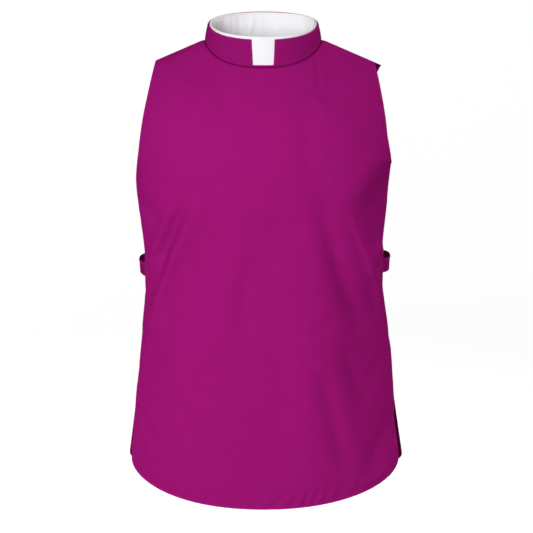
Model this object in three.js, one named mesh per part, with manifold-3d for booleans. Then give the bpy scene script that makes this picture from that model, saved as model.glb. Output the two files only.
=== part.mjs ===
// A clergy shirtfront: a sleeveless front and back that hang from the shoulders over a shirt, tied
// together by a strap at each side, with a stand collar. The collar's front notch shows the white
// slip-in collar that it holds. Millimetres, +Z up, the front faces -Y and +X is the wearer's left.
// The origin is the middle of the neck hole, level with the neck ends of the shoulder seams.

import * as THREE from 'three';
import { mergeVertices } from 'three/addons/utils/BufferGeometryUtils.js';
import Module from 'manifold-3d';

// ---------------------------------------------------------------- cloth and seams
const CLOTH = 1.6; // panel cloth, faced
const SEAM_GAP = 0.4; // between two pieces that are sewn together
const HEM_WIDTH = 7; // narrow turned hem
const HEM_STEP = 1.5; // width over which the hem's extra thickness runs out
const HEM_RAISE = 0.8; // the two turned layers

// ---------------------------------------------------------------- the worn form
// Level sections of the space that the worn garment encloses: height, half width, depth to the front
// and depth to the back. Between the rows the sizes run smoothly.
const FORM = [
  { z: 60, half: 168, front: 58, back: 84 },
  { z: 0, half: 178, front: 70, back: 92 },
  { z: -60, half: 188, front: 92, back: 108 },
  { z: -120, half: 192, front: 112, back: 120 },
  { z: -200, half: 185, front: 124, back: 123 },
  { z: -320, half: 178, front: 121, back: 108 },
  { z: -450, half: 190, front: 124, back: 112 },
  { z: -600, half: 211, front: 128, back: 121 },
  { z: -690, half: 216, front: 129, back: 124 },
];
const SECTION_POWER = 2.4; // superellipse power of a level section
const SHOULDER_SLOPE = 0.43; // fall of the shoulder line for each millimetre outwards
const NECK_HALF = 82; // half width of the neck hole at the shoulder seams
const FRONT_NECK_DEPTH = 66; // neck hole's depth to the front, from the shoulder line
const BACK_NECK_DEPTH = 58;
const FRONT_NECK_POWER = 2.3; // superellipse power of the neck hole, seen from above
const BACK_NECK_POWER = 2.3;

// ---------------------------------------------------------------- the two panels
// side is -1 to the front and 1 to the back. edge gives how far the armhole and side edge stand out
// from the middle at each height, on the wearer's right and left. Below its last row the hem is a
// quarter of an ellipse on each side that falls by hemDrop to the middle.
const FRONT = {
  side: -1,
  depth: 'front',
  rounding: 130, // height over which the shoulder rolls over to the chest
  napeRise: 0,
  neckDepth: FRONT_NECK_DEPTH,
  neckPower: FRONT_NECK_POWER,
  hemDrop: 60,
  leftReach: 0,
  edge: [
    { z: -29.5, right: 150.6, left: 155.6 },
    { z: -60, right: 157.2, left: 162 },
    { z: -110, right: 167, left: 170 },
    { z: -150, right: 172.4, left: 173.8 },
    { z: -192, right: 176.8, left: 178.8 },
    { z: -222, right: 174.4, left: 178.4 },
    { z: -250, right: 169.8, left: 175.4 },
    { z: -300, right: 164.4, left: 167.8 },
    { z: -345, right: 164.8, left: 167.2 },
    { z: -400, right: 169.2, left: 176 },
    { z: -430, right: 172.4, left: 181.8 },
    { z: -470, right: 176.8, left: 184.8 },
    { z: -530, right: 181.2, left: 188.4 },
    { z: -582, right: 185.2, left: 191.8 },
  ],
};
const BACK = {
  side: 1,
  depth: 'back',
  rounding: 110,
  napeRise: 20, // the cloth climbs the nape between the shoulder seams
  neckDepth: BACK_NECK_DEPTH,
  neckPower: BACK_NECK_POWER,
  hemDrop: 53,
  leftReach: 10, // the wearer's left back shoulder is cut this much wider
  edge: [
    { z: -29.5, right: 150.6, left: 155.6 },
    { z: -60, right: 154, left: 157 },
    { z: -110, right: 160, left: 162 },
    { z: -150, right: 165, left: 167 },
    { z: -192, right: 169, left: 171 },
    { z: -250, right: 165.5, left: 167.5 },
    { z: -300, right: 163.6, left: 165 },
    { z: -345, right: 164, left: 166 },
    { z: -400, right: 168.5, left: 173 },
    { z: -450, right: 175.5, left: 181 },
    { z: -518, right: 184.8, left: 190.6 },
    { z: -603, right: 196.6, left: 202.8 },
  ],
};
const LEFT_REACH_FADE = 45; // height over which the wider shoulder runs out

// Folds in the worn cloth. Each runs from x0, z0 to x1, z1 and bows sideways by bow at its middle.
// wide is half its width, and out how far it stands out of the cloth, or sinks in if negative.
const FRONT_FOLDS = [
  // drawn towards the strap on the wearer's right
  { x0: -122, z0: -216, x1: -166, z1: -336, bow: 2, wide: 7, out: 4 },
  { x0: -102, z0: -210, x1: -162, z1: -352, bow: 2, wide: 10, out: -5.4 },
  { x0: -84, z0: -208, x1: -162, z1: -404, bow: 3, wide: 11, out: 5 },
  { x0: -60, z0: -236, x1: -110, z1: -430, bow: 0, wide: 17, out: -2.8 },
  { x0: -16, z0: -204, x1: -78, z1: -440, bow: 0, wide: 27, out: 3.4 },
  { x0: -171, z0: -214, x1: -142, z1: -250, bow: 0, wide: 8, out: -2 },
  { x0: -146, z0: -398, x1: -166, z1: -480, bow: 0, wide: 17, out: -2.6 },
  // drawn towards the strap on the wearer's left, under the fuller side of the chest
  { x0: 180, z0: -138, x1: 98, z1: -226, bow: -6, wide: 21, out: 4.4 },
  { x0: 168, z0: -166, x1: 161, z1: -294, bow: 0, wide: 28, out: -7 },
  { x0: 118, z0: -230, x1: 179, z1: -412, bow: -5, wide: 6, out: 5 },
  { x0: 76, z0: -206, x1: 142, z1: -404, bow: 5, wide: 14, out: -5 },
  { x0: 56, z0: -222, x1: 104, z1: -406, bow: 4, wide: 20, out: 1.8 },
  { x0: 110, z0: -416, x1: 146, z1: -506, bow: 0, wide: 13, out: -3.4 },
  { x0: 78, z0: -446, x1: 118, z1: -594, bow: 2, wide: 14, out: -4.2 },
  { x0: 190, z0: -508, x1: 146, z1: -606, bow: 0, wide: 15, out: -3.8 },
  // below the collar on the wearer's left
  { x0: 56, z0: -40, x1: 64, z1: -196, bow: 0, wide: 17, out: -2 },
  // slack down the middle
  { x0: -20, z0: -286, x1: -34, z1: -430, bow: 0, wide: 14, out: -1.8 },
  { x0: 34, z0: -330, x1: 26, z1: -560, bow: 0, wide: 17, out: -1.6 },
  { x0: 50, z0: -250, x1: 72, z1: -640, bow: 0, wide: 44, out: 6 },
  { x0: 144, z0: -322, x1: 160, z1: -604, bow: 0, wide: 32, out: -6.5 },
];
const BACK_FOLDS = [
  { x0: -96, z0: -232, x1: -168, z1: -404, bow: 6, wide: 9, out: 4 },
  { x0: -118, z0: -226, x1: -160, z1: -340, bow: 4, wide: 8, out: -3.4 },
  { x0: 90, z0: -226, x1: 170, z1: -396, bow: -6, wide: 9, out: 4.4 },
  { x0: 122, z0: -214, x1: 162, z1: -336, bow: -4, wide: 8, out: -3.6 },
  { x0: -52, z0: -250, x1: -84, z1: -420, bow: 5, wide: 15, out: -3 },
  { x0: 44, z0: -280, x1: 82, z1: -450, bow: -5, wide: 15, out: -3 },
  { x0: 6, z0: -300, x1: -8, z1: -560, bow: 0, wide: 20, out: 2.6 },
  { x0: -120, z0: -430, x1: -136, z1: -590, bow: 0, wide: 18, out: -3 },
  { x0: 128, z0: -440, x1: 120, z1: -600, bow: 0, wide: 18, out: -3 },
];
FRONT.folds = FRONT_FOLDS;
BACK.folds = BACK_FOLDS;

const SLIT_LENGTH = 140; // opening below the collar, down the middle of the back
const SLIT_WIDTH = 0.8;

// ---------------------------------------------------------------- collar
const RIM_HALF = 77.6; // the collar's top edge: a level ellipse, tipped forwards
const RIM_FRONT = 62;
const RIM_BACK = 57;
const RIM_HEIGHT = 19.5; // at the sides
const RIM_TIP = 17.5; // lower than that in front, and higher at the back
const RIM_SIDE = 2.6; // raised at the sides, by a power of the sine
const RIM_FRONT_POWER = 8;
const RIM_BACK_POWER = 2;
const BAND_CLOTH = 2; // interfaced
const BAND_TUCK = 1; // the band's bottom edge goes in beside the panels' neck edge
const BAND_GAP = 0.6; // between the two there
const INSERT_GAP = 1; // between the band and the white collar in it
const BAND_CROWN = 0.6; // the band stands out by this half way up
const NOTCH_TOP = 32.2; // width of the front notch
const NOTCH_BOTTOM = 29;
const NOTCH_FOOT = 3.2; // the notch ends so far above the seam, where the band runs on across it
const OVERLAP = 22; // of the two ends at the back
const OVERLAP_RAMP = 14; // over which the outer end steps out
const INSERT_HEIGHT = 40; // white slip-in collar
const INSERT_THICK = 2;
const INSERT_PROUD = 4; // it stands this far above the band in front
const INSERT_LOW = 0.8; // and ends this far below the band's top at the back
const INSERT_HALF = 75.5; // its bottom edge
const INSERT_FRONT = 63;
const INSERT_BACK = 54;
const INSERT_END_GAP = 0.6; // between its two ends, which meet at the back
const INSERT_POWER = 2.2;

// ---------------------------------------------------------------- straps and button
const STRAP_HEIGHT = 20;
const STRAP_THICK = 1.5;
const STRAP_TUCK = 16; // sewn under each panel's edge by this much
const STRAP_GAP = 0.8; // between it and the cloth over it
// level is the height of its middle, half how far it stands out there at the side, and lean how much
// further its top edge stands out than its bottom edge
const STRAPS = {
  right: { turn: -1, level: -317, half: 174.8, lean: 2.2 },
  left: { turn: 1, level: -312.5, half: 179.2, lean: 1.9 },
};
const STRAP_HOLD_REACH = 36; // it holds the cloth flat about so far in from the edge
const STRAP_HOLD_HEIGHT = 28;
const BUTTON_RADIUS = 5.5;
const BUTTON_THICK = 2.2;
const BUTTON_RIM = 1.1;
const BUTTON_DISH = 0.6;
const BUTTON_HOLE = 0.9; // radius
const BUTTON_HOLE_OUT = 1.6; // from the button's middle

// ---------------------------------------------------------------- mesh fineness
const NECK_COLUMNS = 9; // from the middle of a panel to the neck's side, closer towards it
const SHOULDER_COLUMNS = 7; // on to the hem
const PANEL_ROWS = 34;
const ROW_CLOSING = 0.45; // rows grow closer towards the hem's corners, 0 for even rows
const RING_STEPS = 24; // half way round the neck
const STRAP_STEPS = 18;
const BUTTON_SIDES = 20;

const purple = (r, g, b) => new THREE.Color(r / 255, g / 255, b / 255).convertSRGBToLinear();
const CLOTH_MATERIAL = new THREE.MeshStandardMaterial({
  color: purple(160, 22, 117), roughness: 0.78, metalness: 0, side: THREE.DoubleSide,
});
const STRAP_MATERIAL = new THREE.MeshStandardMaterial({
  color: purple(118, 14, 86), roughness: 0.85, metalness: 0,
});
const WHITE_MATERIAL = new THREE.MeshStandardMaterial({
  color: purple(243, 244, 248), roughness: 0.6, metalness: 0,
});
const BUTTON_MATERIAL = new THREE.MeshStandardMaterial({
  color: purple(128, 18, 94), roughness: 0.35, metalness: 0,
});

// ================================================================ small helpers

// A column of a table at height z: a smooth curve through the rows that never overshoots them.
function along(rows, column, z) {
  const last = rows.length - 1;
  if (z >= rows[0].z) return rows[0][column];
  if (z <= rows[last].z) return rows[last][column];
  const slope = (k) => (rows[k + 1][column] - rows[k][column]) / (rows[k + 1].z - rows[k].z);
  const tangent = (k) => {
    if (k === 0) return slope(0);
    if (k === last) return slope(last - 1);
    const above = slope(k - 1);
    const below = slope(k);
    return above * below > 0 ? (2 * above * below) / (above + below) : 0;
  };
  const k = rows.findIndex((row) => row.z < z) - 1;
  const step = rows[k + 1].z - rows[k].z;
  const t = (z - rows[k].z) / step;
  const startShare = (1 + 2 * t) * (1 - t) ** 2;
  const endShare = t * t * (3 - 2 * t);
  const bend = step * (t * (1 - t) ** 2 * tangent(k) + t * t * (t - 1) * tangent(k + 1));
  return startShare * rows[k][column] + endShare * rows[k + 1][column] + bend;
}

// The height of a superellipse quadrant of half width 1 and height 1 at share q of its half width.
const quadrant = (q, power) => (1 - Math.min(1, Math.abs(q)) ** power) ** (1 / power);

// ================================================================ the worn surface

// The top of the form over x: the shoulder line, and a rounded top inside the neck hole.
function ridge(panel, x) {
  const out = Math.abs(x);
  if (out >= NECK_HALF) return -SHOULDER_SLOPE * (out - NECK_HALF);
  const inside = 1 - (out / NECK_HALF) ** 2;
  return (SHOULDER_SLOPE * NECK_HALF * inside) / 2 + panel.napeRise * inside ** 2;
}

// How far the form reaches to the panel's side at x and z.
function depthAt(panel, x, z) {
  const section = along(FORM, panel.depth, z) * quadrant(x / along(FORM, 'half', z), SECTION_POWER);
  const below = THREE.MathUtils.clamp((ridge(panel, x) - z) / panel.rounding, 0, 1);
  return section * Math.sqrt(1 - (1 - below) ** 2);
}

// The unit vector that points out of the form there.
function outwards(panel, x, z) {
  const top = ridge(panel, x);
  if (z > top - 1e-3) return new THREE.Vector3(SHOULDER_SLOPE * Math.sign(x), 0, 1).normalize();
  const d = 0.5;
  const high = Math.min(z + d, top);
  const byX = (depthAt(panel, x + d, z) - depthAt(panel, x - d, z)) / (2 * d);
  const byZ = (depthAt(panel, x, high) - depthAt(panel, x, z - d)) / (high - z + d);
  return new THREE.Vector3(-byX, panel.side, -byZ).normalize();
}

// Folds die out where a strap is sewn under the panel's edge and holds it flat.
function foldFreedom(panel, x, z, ridge) {
  const strap = x < 0 ? STRAPS.right : STRAPS.left;
  const fromEdge = (Math.abs(x) - edgeHalf(panel, x, z)) / STRAP_HOLD_REACH;
  const fromStrap = (z - strap.level) / STRAP_HOLD_HEIGHT;
  const away = Math.hypot(fromEdge, fromStrap);
  return THREE.MathUtils.smoothstep(away, ridge ? 0.15 : 0.6, ridge ? 0.55 : 1.2);
}

// How far the folds push the cloth out at x and z.
function foldAt(panel, x, z) {
  let out = 0;
  for (const fold of panel.folds) {
    const runX = fold.x1 - fold.x0;
    const runZ = fold.z1 - fold.z0;
    const length = Math.hypot(runX, runZ);
    const t = ((x - fold.x0) * runX + (z - fold.z0) * runZ) / length ** 2;
    if (t <= 0 || t >= 1) continue;
    const arch = 4 * t * (1 - t);
    const aside = ((x - fold.x0) * runZ - (z - fold.z0) * runX) / length - fold.bow * arch;
    out += fold.out * arch ** 0.7 * Math.exp(-((aside / fold.wide) ** 2));
  }
  return out * foldFreedom(panel, x, z, out > 0);
}

// A point of the worn cloth's outside at x and z, moved out by lift.
function worn(panel, x, z, lift = 0) {
  const y = panel.side * (SEAM_GAP / 2 + depthAt(panel, x, z));
  return new THREE.Vector3(x, y, z).addScaledVector(outwards(panel, x, z), foldAt(panel, x, z) + lift);
}

// The height at which the form is as deep as the neck hole at x: found by halving.
function neckHeight(panel, x) {
  const wanted = panel.neckDepth * quadrant(x / NECK_HALF, panel.neckPower);
  let high = ridge(panel, x);
  let low = high - panel.rounding;
  for (let k = 0; k < 30; k++) {
    const middle = (high + low) / 2;
    if (depthAt(panel, x, middle) < wanted) high = middle;
    else low = middle;
  }
  return (high + low) / 2;
}

// ================================================================ closed walls

// A closed wall between two grids of points, rows by columns: two faces and a rim round their edge.
function wall(outer, inner) {
  const rows = outer.length;
  const columns = outer[0].length;
  const points = [...outer.flat(), ...inner.flat()];
  const at = (layer, i, j) => layer * rows * columns + i * columns + j;
  const index = [];
  const quad = (a, b, c, d) => index.push(a, b, c, a, c, d);
  for (let i = 0; i < rows - 1; i++) {
    for (let j = 0; j < columns - 1; j++) {
      quad(at(0, i, j), at(0, i + 1, j), at(0, i + 1, j + 1), at(0, i, j + 1));
      quad(at(1, i, j), at(1, i, j + 1), at(1, i + 1, j + 1), at(1, i + 1, j));
    }
  }
  const rim = [];
  for (let j = 0; j < columns - 1; j++) rim.push([0, j]);
  for (let i = 0; i < rows - 1; i++) rim.push([i, columns - 1]);
  for (let j = columns - 1; j > 0; j--) rim.push([rows - 1, j]);
  for (let i = rows - 1; i > 0; i--) rim.push([i, 0]);
  rim.forEach(([i, j], k) => {
    const [ni, nj] = rim[(k + 1) % rim.length];
    quad(at(0, i, j), at(0, ni, nj), at(1, ni, nj), at(1, i, j));
  });
  const geometry = new THREE.BufferGeometry();
  geometry.setAttribute('position', new THREE.Float32BufferAttribute(points.flatMap((p) => p.toArray()), 3));
  geometry.setIndex(facesOut(points, index));
  return geometry;
}

// The same triangles, turned round if they enclose a negative volume.
function facesOut(points, index) {
  let volume = 0;
  for (let k = 0; k < index.length; k += 3) {
    const [a, b, c] = [points[index[k]], points[index[k + 1]], points[index[k + 2]]];
    volume += a.dot(new THREE.Vector3().crossVectors(b, c));
  }
  if (volume > 0) return index;
  const turned = [];
  for (let k = 0; k < index.length; k += 3) turned.push(index[k], index[k + 2], index[k + 1]);
  return turned;
}

// ================================================================ panels

// How far a panel's edge stands out from the middle at height z, on the side where x is (the
// wearer's right is negative), with the hem's curve below the last row.
function edgeHalf(panel, x, z) {
  const column = x < 0 ? 'right' : 'left';
  const end = panel.edge.at(-1);
  if (z >= end.z) return along(panel.edge, column, z);
  return end[column] * Math.sqrt(Math.max(0, 1 - ((end.z - z) / panel.hemDrop) ** 2));
}

// Down a column of cloth the points start close together on the shoulder, where the cloth is nearly
// level, and then run evenly. fallen gives the fall for a place along the column, and placeOf is its
// inverse.
const ROLL = 120;
const fallen = (place) => place ** 2 / (place + ROLL);
const placeOf = (fall) => (fall + Math.sqrt(fall ** 2 + 4 * ROLL * fall)) / 2;

// The x and z of a panel's cloth at share u across, -1 to 1, and share v down, 0 to 1. The grid's
// lower corners lie on the hem's curve, where it has turned by 45 degrees.
function panelSpot(panel, u, v) {
  const end = panel.edge.at(-1);
  const shoulder = edgeHalf(panel, u, panel.edge[0].z);
  const reach = u > 0 ? panel.leftReach * u ** 6 : 0;
  const columnZ = (share, topX) => {
    const top = ridge(panel, topX);
    const start = Math.abs(topX) < NECK_HALF ? placeOf(top - neckHeight(panel, topX)) : 0;
    const bottom = end.z - panel.hemDrop * Math.sqrt(1 - share ** 2 / 2);
    return top - fallen(start * (1 - v) ** 4 + placeOf(top - bottom) * v);
  };
  const edgeZ = columnZ(1, shoulder);
  const fade = Math.max(0, 1 - (ridge(panel, shoulder) - edgeZ) / LEFT_REACH_FADE) ** 2;
  return { x: u * edgeHalf(panel, u, edgeZ) + reach * fade, z: columnZ(u, u * shoulder + reach) };
}

// Shares across half a panel, from the middle to a side whose shoulder is so wide: the neck's side
// has a column of its own, and the last two bound the hem.
function panelShares(shoulder) {
  const neck = NECK_HALF / shoulder;
  const hem = 1 - HEM_WIDTH / shoulder;
  const step = 1 - (HEM_WIDTH + HEM_STEP) / shoulder;
  const shares = [];
  for (let k = 0; k < NECK_COLUMNS; k++) shares.push(neck * Math.sin((Math.PI / 2) * (k / NECK_COLUMNS)));
  for (let k = 0; k < SHOULDER_COLUMNS; k++) shares.push(neck + ((step - neck) * k) / SHOULDER_COLUMNS);
  shares.push(step, hem, 1);
  return shares;
}

function panelGeometry(panel) {
  const { right, left } = panel.edge[0];
  const toRight = panelShares(right).slice(1).reverse().map((share) => -share);
  const shares = [...toRight, ...panelShares(left)];
  const length = -panel.edge.at(-1).z + panel.hemDrop;
  const hemLine = 1 - (HEM_WIDTH + HEM_STEP) / length;
  const downs = [];
  for (let k = 0; k <= PANEL_ROWS; k++) {
    const share = k / PANEL_ROWS;
    downs.push(hemLine * (share + ROW_CLOSING * share * (1 - share)));
  }
  downs.push(1 - HEM_WIDTH / length, 1);
  const outer = [];
  const inner = [];
  downs.forEach((v, i) => {
    const outside = [];
    const inside = [];
    shares.forEach((u, j) => {
      const { x, z } = panelSpot(panel, u, v);
      const inHem = i >= downs.length - 2 || j < 2 || j >= shares.length - 2;
      outside.push(worn(panel, x, z, inHem ? HEM_RAISE : 0));
      inside.push(panelInside(panel, x, z, v === 0));
    });
    outer.push(outside);
    inner.push(inside);
  });
  return wall(outer, inner);
}

// The inside of a panel's cloth. Round the neck hole its edge is cut upright, so that the collar
// passes it.
function panelInside(panel, x, z, atTop) {
  if (!atTop || Math.abs(x) >= NECK_HALF - 1e-6) return worn(panel, x, z, -CLOTH);
  const upright = CLOTH / Math.max(0.5, outwards(panel, x, z).z);
  return worn(panel, x, z).add(new THREE.Vector3(0, 0, -upright));
}

// ================================================================ collar

// A point of the neck hole's edge. The angle runs from 0 at the front to PI at the back, and is
// negative on the wearer's right.
function neckEdge(angle) {
  const x = NECK_HALF * Math.sin(angle);
  const panel = Math.cos(angle) >= 0 ? FRONT : BACK;
  return worn(panel, x, neckHeight(panel, x));
}

// A point of the collar's top edge.
function rimEdge(angle) {
  const cosine = Math.cos(angle);
  const power = cosine >= 0 ? RIM_FRONT_POWER : RIM_BACK_POWER;
  return new THREE.Vector3(
    RIM_HALF * Math.sin(angle),
    -(cosine >= 0 ? RIM_FRONT : RIM_BACK) * cosine,
    RIM_HEIGHT - RIM_TIP * cosine + RIM_SIDE * Math.abs(Math.sin(angle)) ** power,
  );
}

// The level unit vector that points out of a ring of points at an angle.
function ringOut(ring, angle) {
  const d = 0.01;
  const run = ring(angle + d).sub(ring(angle - d));
  return new THREE.Vector3(run.y, -run.x, 0).normalize();
}

// A point of the neckband at share t up it, lift outside the seam line.
function bandPoint(angle, t, lift, foot) {
  const low = neckEdge(angle).addScaledVector(ringOut(neckEdge, angle), lift);
  const high = rimEdge(angle).addScaledVector(ringOut(rimEdge, angle), lift);
  low.z += foot;
  return low.lerp(high, t).addScaledVector(ringOut(rimEdge, angle), BAND_CROWN * 4 * t * (1 - t));
}

// The neckband runs all round, and its ends overlap at the back, the wearer's left end outside. Its
// notch is a trapezium, cut straight through.
function bandGeometry() {
  const past = OVERLAP / 2 / BACK_NECK_DEPTH;
  const ramp = OVERLAP_RAMP / BACK_NECK_DEPTH;
  const lapStart = Math.PI - past;
  const point = (angle, t, inwards) => {
    const risen = THREE.MathUtils.smoothstep(angle, lapStart - 2 * ramp, lapStart - ramp);
    const steppedOut = THREE.MathUtils.smoothstep(angle, lapStart - ramp, lapStart - ramp / 4);
    const lift = -BAND_GAP + steppedOut * (BAND_CLOTH + SEAM_GAP);
    return bandPoint(angle, t, lift - inwards, -BAND_TUCK + risen * (BAND_TUCK + CLOTH));
  };
  const angles = [];
  for (let k = -RING_STEPS; k <= RING_STEPS; k++) angles.push(((Math.PI + past) * k) / RING_STEPS);
  const shares = [1, 0.75, 0.5, 0.25, 0];
  const outer = shares.map((t) => angles.map((angle) => point(angle, t, 0)));
  const inner = shares.map((t) => angles.map((angle) => point(angle, t, BAND_CLOTH)));

  const foot = neckHeight(FRONT, 0) + NOTCH_FOOT;
  const height = RIM_HEIGHT - RIM_TIP - foot;
  const above = 20;
  const spread = (NOTCH_TOP - NOTCH_BOTTOM) / 2 / height;
  const outline = [
    [NOTCH_BOTTOM / 2, 0], [NOTCH_TOP / 2 + spread * above, height + above],
    [-NOTCH_TOP / 2 - spread * above, height + above], [-NOTCH_BOTTOM / 2, 0],
  ].map(([x, z]) => new THREE.Vector2(x, z));
  const notch = new THREE.ExtrudeGeometry(new THREE.Shape(outline), { depth: 80, bevelEnabled: false });
  notch.rotateX(Math.PI / 2).translate(0, -30, foot);
  return toGeometry(toSolid(wall(outer, inner)).subtract(toSolid(notch)));
}

// The white slip-in collar: a strip round the inside of the neckband, its ends apart at the back.
function insertGeometry() {
  const behindBand = -BAND_GAP - BAND_CLOTH - INSERT_GAP;
  const bottomEdge = (angle) => {
    const cosine = Math.cos(angle);
    const sine = Math.sin(angle);
    const x = INSERT_HALF * Math.sign(sine) * Math.abs(sine) ** (2 / INSERT_POWER);
    const reach = cosine >= 0 ? INSERT_FRONT : INSERT_BACK;
    const y = -reach * Math.sign(cosine) * Math.abs(cosine) ** (2 / INSERT_POWER);
    return new THREE.Vector3(x, y, 0);
  };
  const proud = (angle) => ((INSERT_PROUD + INSERT_LOW) * (1 + Math.cos(angle))) / 2 - INSERT_LOW;
  const point = (angle, t, lift) => {
    const high = rimEdge(angle).addScaledVector(ringOut(rimEdge, angle), behindBand + lift);
    high.z += proud(angle);
    const low = bottomEdge(angle).addScaledVector(ringOut(rimEdge, angle), lift);
    low.z = high.z - INSERT_HEIGHT;
    return low.lerp(high, t);
  };
  const end = Math.PI - INSERT_END_GAP / 2 / INSERT_BACK;
  const outer = [];
  const inner = [];
  for (const t of [0, 0.5, 1]) {
    const angles = Array.from({ length: 2 * RING_STEPS + 1 }, (_, k) => -end + (end * k) / RING_STEPS);
    outer.push(angles.map((angle) => point(angle, t, 0)));
    inner.push(angles.map((angle) => point(angle, t, -INSERT_THICK)));
  }
  return wall(outer, inner);
}

// ================================================================ side straps

// A strap runs level round the side of the form. Both ends are sewn inside the panels' edges, so
// there it follows their inside.
function strapGeometry(strap) {
  const angleAt = (panel, tuck) => {
    const out = edgeHalf(panel, strap.turn, strap.level) - tuck;
    return Math.acos((out / along(FORM, 'half', strap.level)) ** (SECTION_POWER / 2));
  };
  const point = (angle, z, lift) => {
    const panel = angle < 0 ? FRONT : BACK;
    const edgeAngle = angleAt(panel, 0);
    const free = 1 - THREE.MathUtils.smoothstep(Math.abs(angle), edgeAngle / 2, edgeAngle);
    const formHalf = along(FORM, 'half', z);
    const ownHalf = strap.half + (strap.lean * (z - strap.level)) / STRAP_HEIGHT;
    const half = THREE.MathUtils.lerp(formHalf, ownHalf, free);
    const depth = along(FORM, panel.depth, z);
    const x = half * Math.cos(angle) ** (2 / SECTION_POWER);
    const y = panel.side * depth * Math.abs(Math.sin(angle)) ** (2 / SECTION_POWER);
    const out = new THREE.Vector3(
      x ** (SECTION_POWER - 1) / half ** SECTION_POWER,
      panel.side * Math.abs(y) ** (SECTION_POWER - 1) / depth ** SECTION_POWER,
      0,
    ).normalize();
    const spot = new THREE.Vector3(x, y, z).addScaledVector(out, lift - (CLOTH + STRAP_GAP) * (1 - free));
    return spot.setX(strap.turn * spot.x);
  };
  const start = -angleAt(FRONT, STRAP_TUCK);
  const end = angleAt(BACK, STRAP_TUCK);
  const angles = [];
  for (let k = 0; k <= STRAP_STEPS; k++) angles.push(start + ((end - start) * k) / STRAP_STEPS);
  const outer = [];
  const inner = [];
  for (const share of [0.5, 0.25, 0, -0.25, -0.5]) {
    const z = strap.level + share * STRAP_HEIGHT;
    outer.push(angles.map((angle) => point(angle, z, 0)));
    inner.push(angles.map((angle) => point(angle, z, -STRAP_THICK)));
  }
  return wall(outer, inner);
}

// ================================================================ joins and cuts

const wasm = await Module();
wasm.setup();

function toSolid(geometry) {
  const bare = geometry.clone();
  bare.deleteAttribute('normal');
  bare.deleteAttribute('uv');
  const merged = mergeVertices(bare);
  return new wasm.Manifold(new wasm.Mesh({
    numProp: 3,
    vertProperties: merged.attributes.position.array,
    triVerts: new Uint32Array(merged.index.array),
  }));
}

function toGeometry(solid) {
  const mesh = solid.getMesh();
  return new THREE.BufferGeometry()
    .setAttribute('position', new THREE.BufferAttribute(mesh.vertProperties, 3))
    .setIndex(new THREE.BufferAttribute(mesh.triVerts, 1));
}

// The back, with its slit from the neck edge down.
function backGeometry() {
  const neckZ = neckHeight(BACK, 0);
  const above = 40;
  const reach = 2 * BACK_NECK_DEPTH;
  const cutter = new THREE.BoxGeometry(SLIT_WIDTH, reach, SLIT_LENGTH + above);
  cutter.translate(0, BACK_NECK_DEPTH + reach / 4, neckZ + (above - SLIT_LENGTH) / 2);
  return toGeometry(toSolid(panelGeometry(BACK)).subtract(toSolid(cutter)));
}

// A four-hole shirt button: a dished disc, turned round its own axis.
function buttonGeometry() {
  const half = BUTTON_THICK / 2;
  const profile = [
    [0, -half], [BUTTON_RADIUS - 0.5, -half], [BUTTON_RADIUS, 0], [BUTTON_RADIUS - 0.4, half],
    [BUTTON_RADIUS - BUTTON_RIM, half], [BUTTON_RADIUS - BUTTON_RIM - 0.5, half - BUTTON_DISH],
    [0, half - BUTTON_DISH],
  ].map(([r, h]) => new THREE.Vector2(r, h));
  let solid = toSolid(new THREE.LatheGeometry(profile, BUTTON_SIDES));
  for (const [sx, sz] of [[1, 1], [1, -1], [-1, 1], [-1, -1]]) {
    const hole = new THREE.CylinderGeometry(BUTTON_HOLE, BUTTON_HOLE, 2 * BUTTON_THICK, 10);
    hole.translate((sx * BUTTON_HOLE_OUT) / Math.SQRT2, 0, (sz * BUTTON_HOLE_OUT) / Math.SQRT2);
    solid = solid.subtract(toSolid(hole));
  }
  return toGeometry(solid);
}

// ================================================================ the shirtfront

const shirtfront = new THREE.Group();

function add(name, geometry, material) {
  const mesh = new THREE.Mesh(geometry, material);
  mesh.name = name;
  shirtfront.add(mesh);
  return mesh;
}

add('front_panel', panelGeometry(FRONT), CLOTH_MATERIAL);
add('back_panel', backGeometry(), CLOTH_MATERIAL);
add('neckband', bandGeometry(), CLOTH_MATERIAL);
add('collar_insert', insertGeometry(), WHITE_MATERIAL);
add('side_strap_left', strapGeometry(STRAPS.left), STRAP_MATERIAL);
add('side_strap_right', strapGeometry(STRAPS.right), STRAP_MATERIAL);

const button = add('neck_button', buttonGeometry(), BUTTON_MATERIAL);
const outerEndLift = BAND_CLOTH + SEAM_GAP / 2;
button.position.copy(bandPoint(Math.PI, 0.5, outerEndLift + BUTTON_THICK / 2, CLOTH));

export default shirtfront;
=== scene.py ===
"""A clergy shirtfront in its worn shape, with the studio that it hangs in.

A sleeveless front and back of purple cloth hang from the shoulders. A strap at each side ties them
together at the waist. The stand collar buttons behind, and the notch at its front shows the white
slip-in collar that it holds. Lengths in the tables are millimetres, and all others are metres.
+Z is up, the front faces -Y and +X is the wearer's left.
"""

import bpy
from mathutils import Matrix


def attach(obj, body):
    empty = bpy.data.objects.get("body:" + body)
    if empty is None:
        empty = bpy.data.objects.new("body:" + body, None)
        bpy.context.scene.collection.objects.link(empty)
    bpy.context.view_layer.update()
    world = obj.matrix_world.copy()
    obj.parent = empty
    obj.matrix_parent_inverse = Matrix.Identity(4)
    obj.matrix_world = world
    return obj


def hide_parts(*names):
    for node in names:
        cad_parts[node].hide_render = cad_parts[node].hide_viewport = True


bl_info = {
    "name": "Clergy shirtfront",
    "version": (1, 0, 0),
    "blender": (4, 5, 0),
    "location": "3D View > Sidebar > Shirtfront",
    "description": "Makes a clergy shirtfront with its collar, straps, button, sewing and studio",
    "category": "Add Mesh",
}

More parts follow.
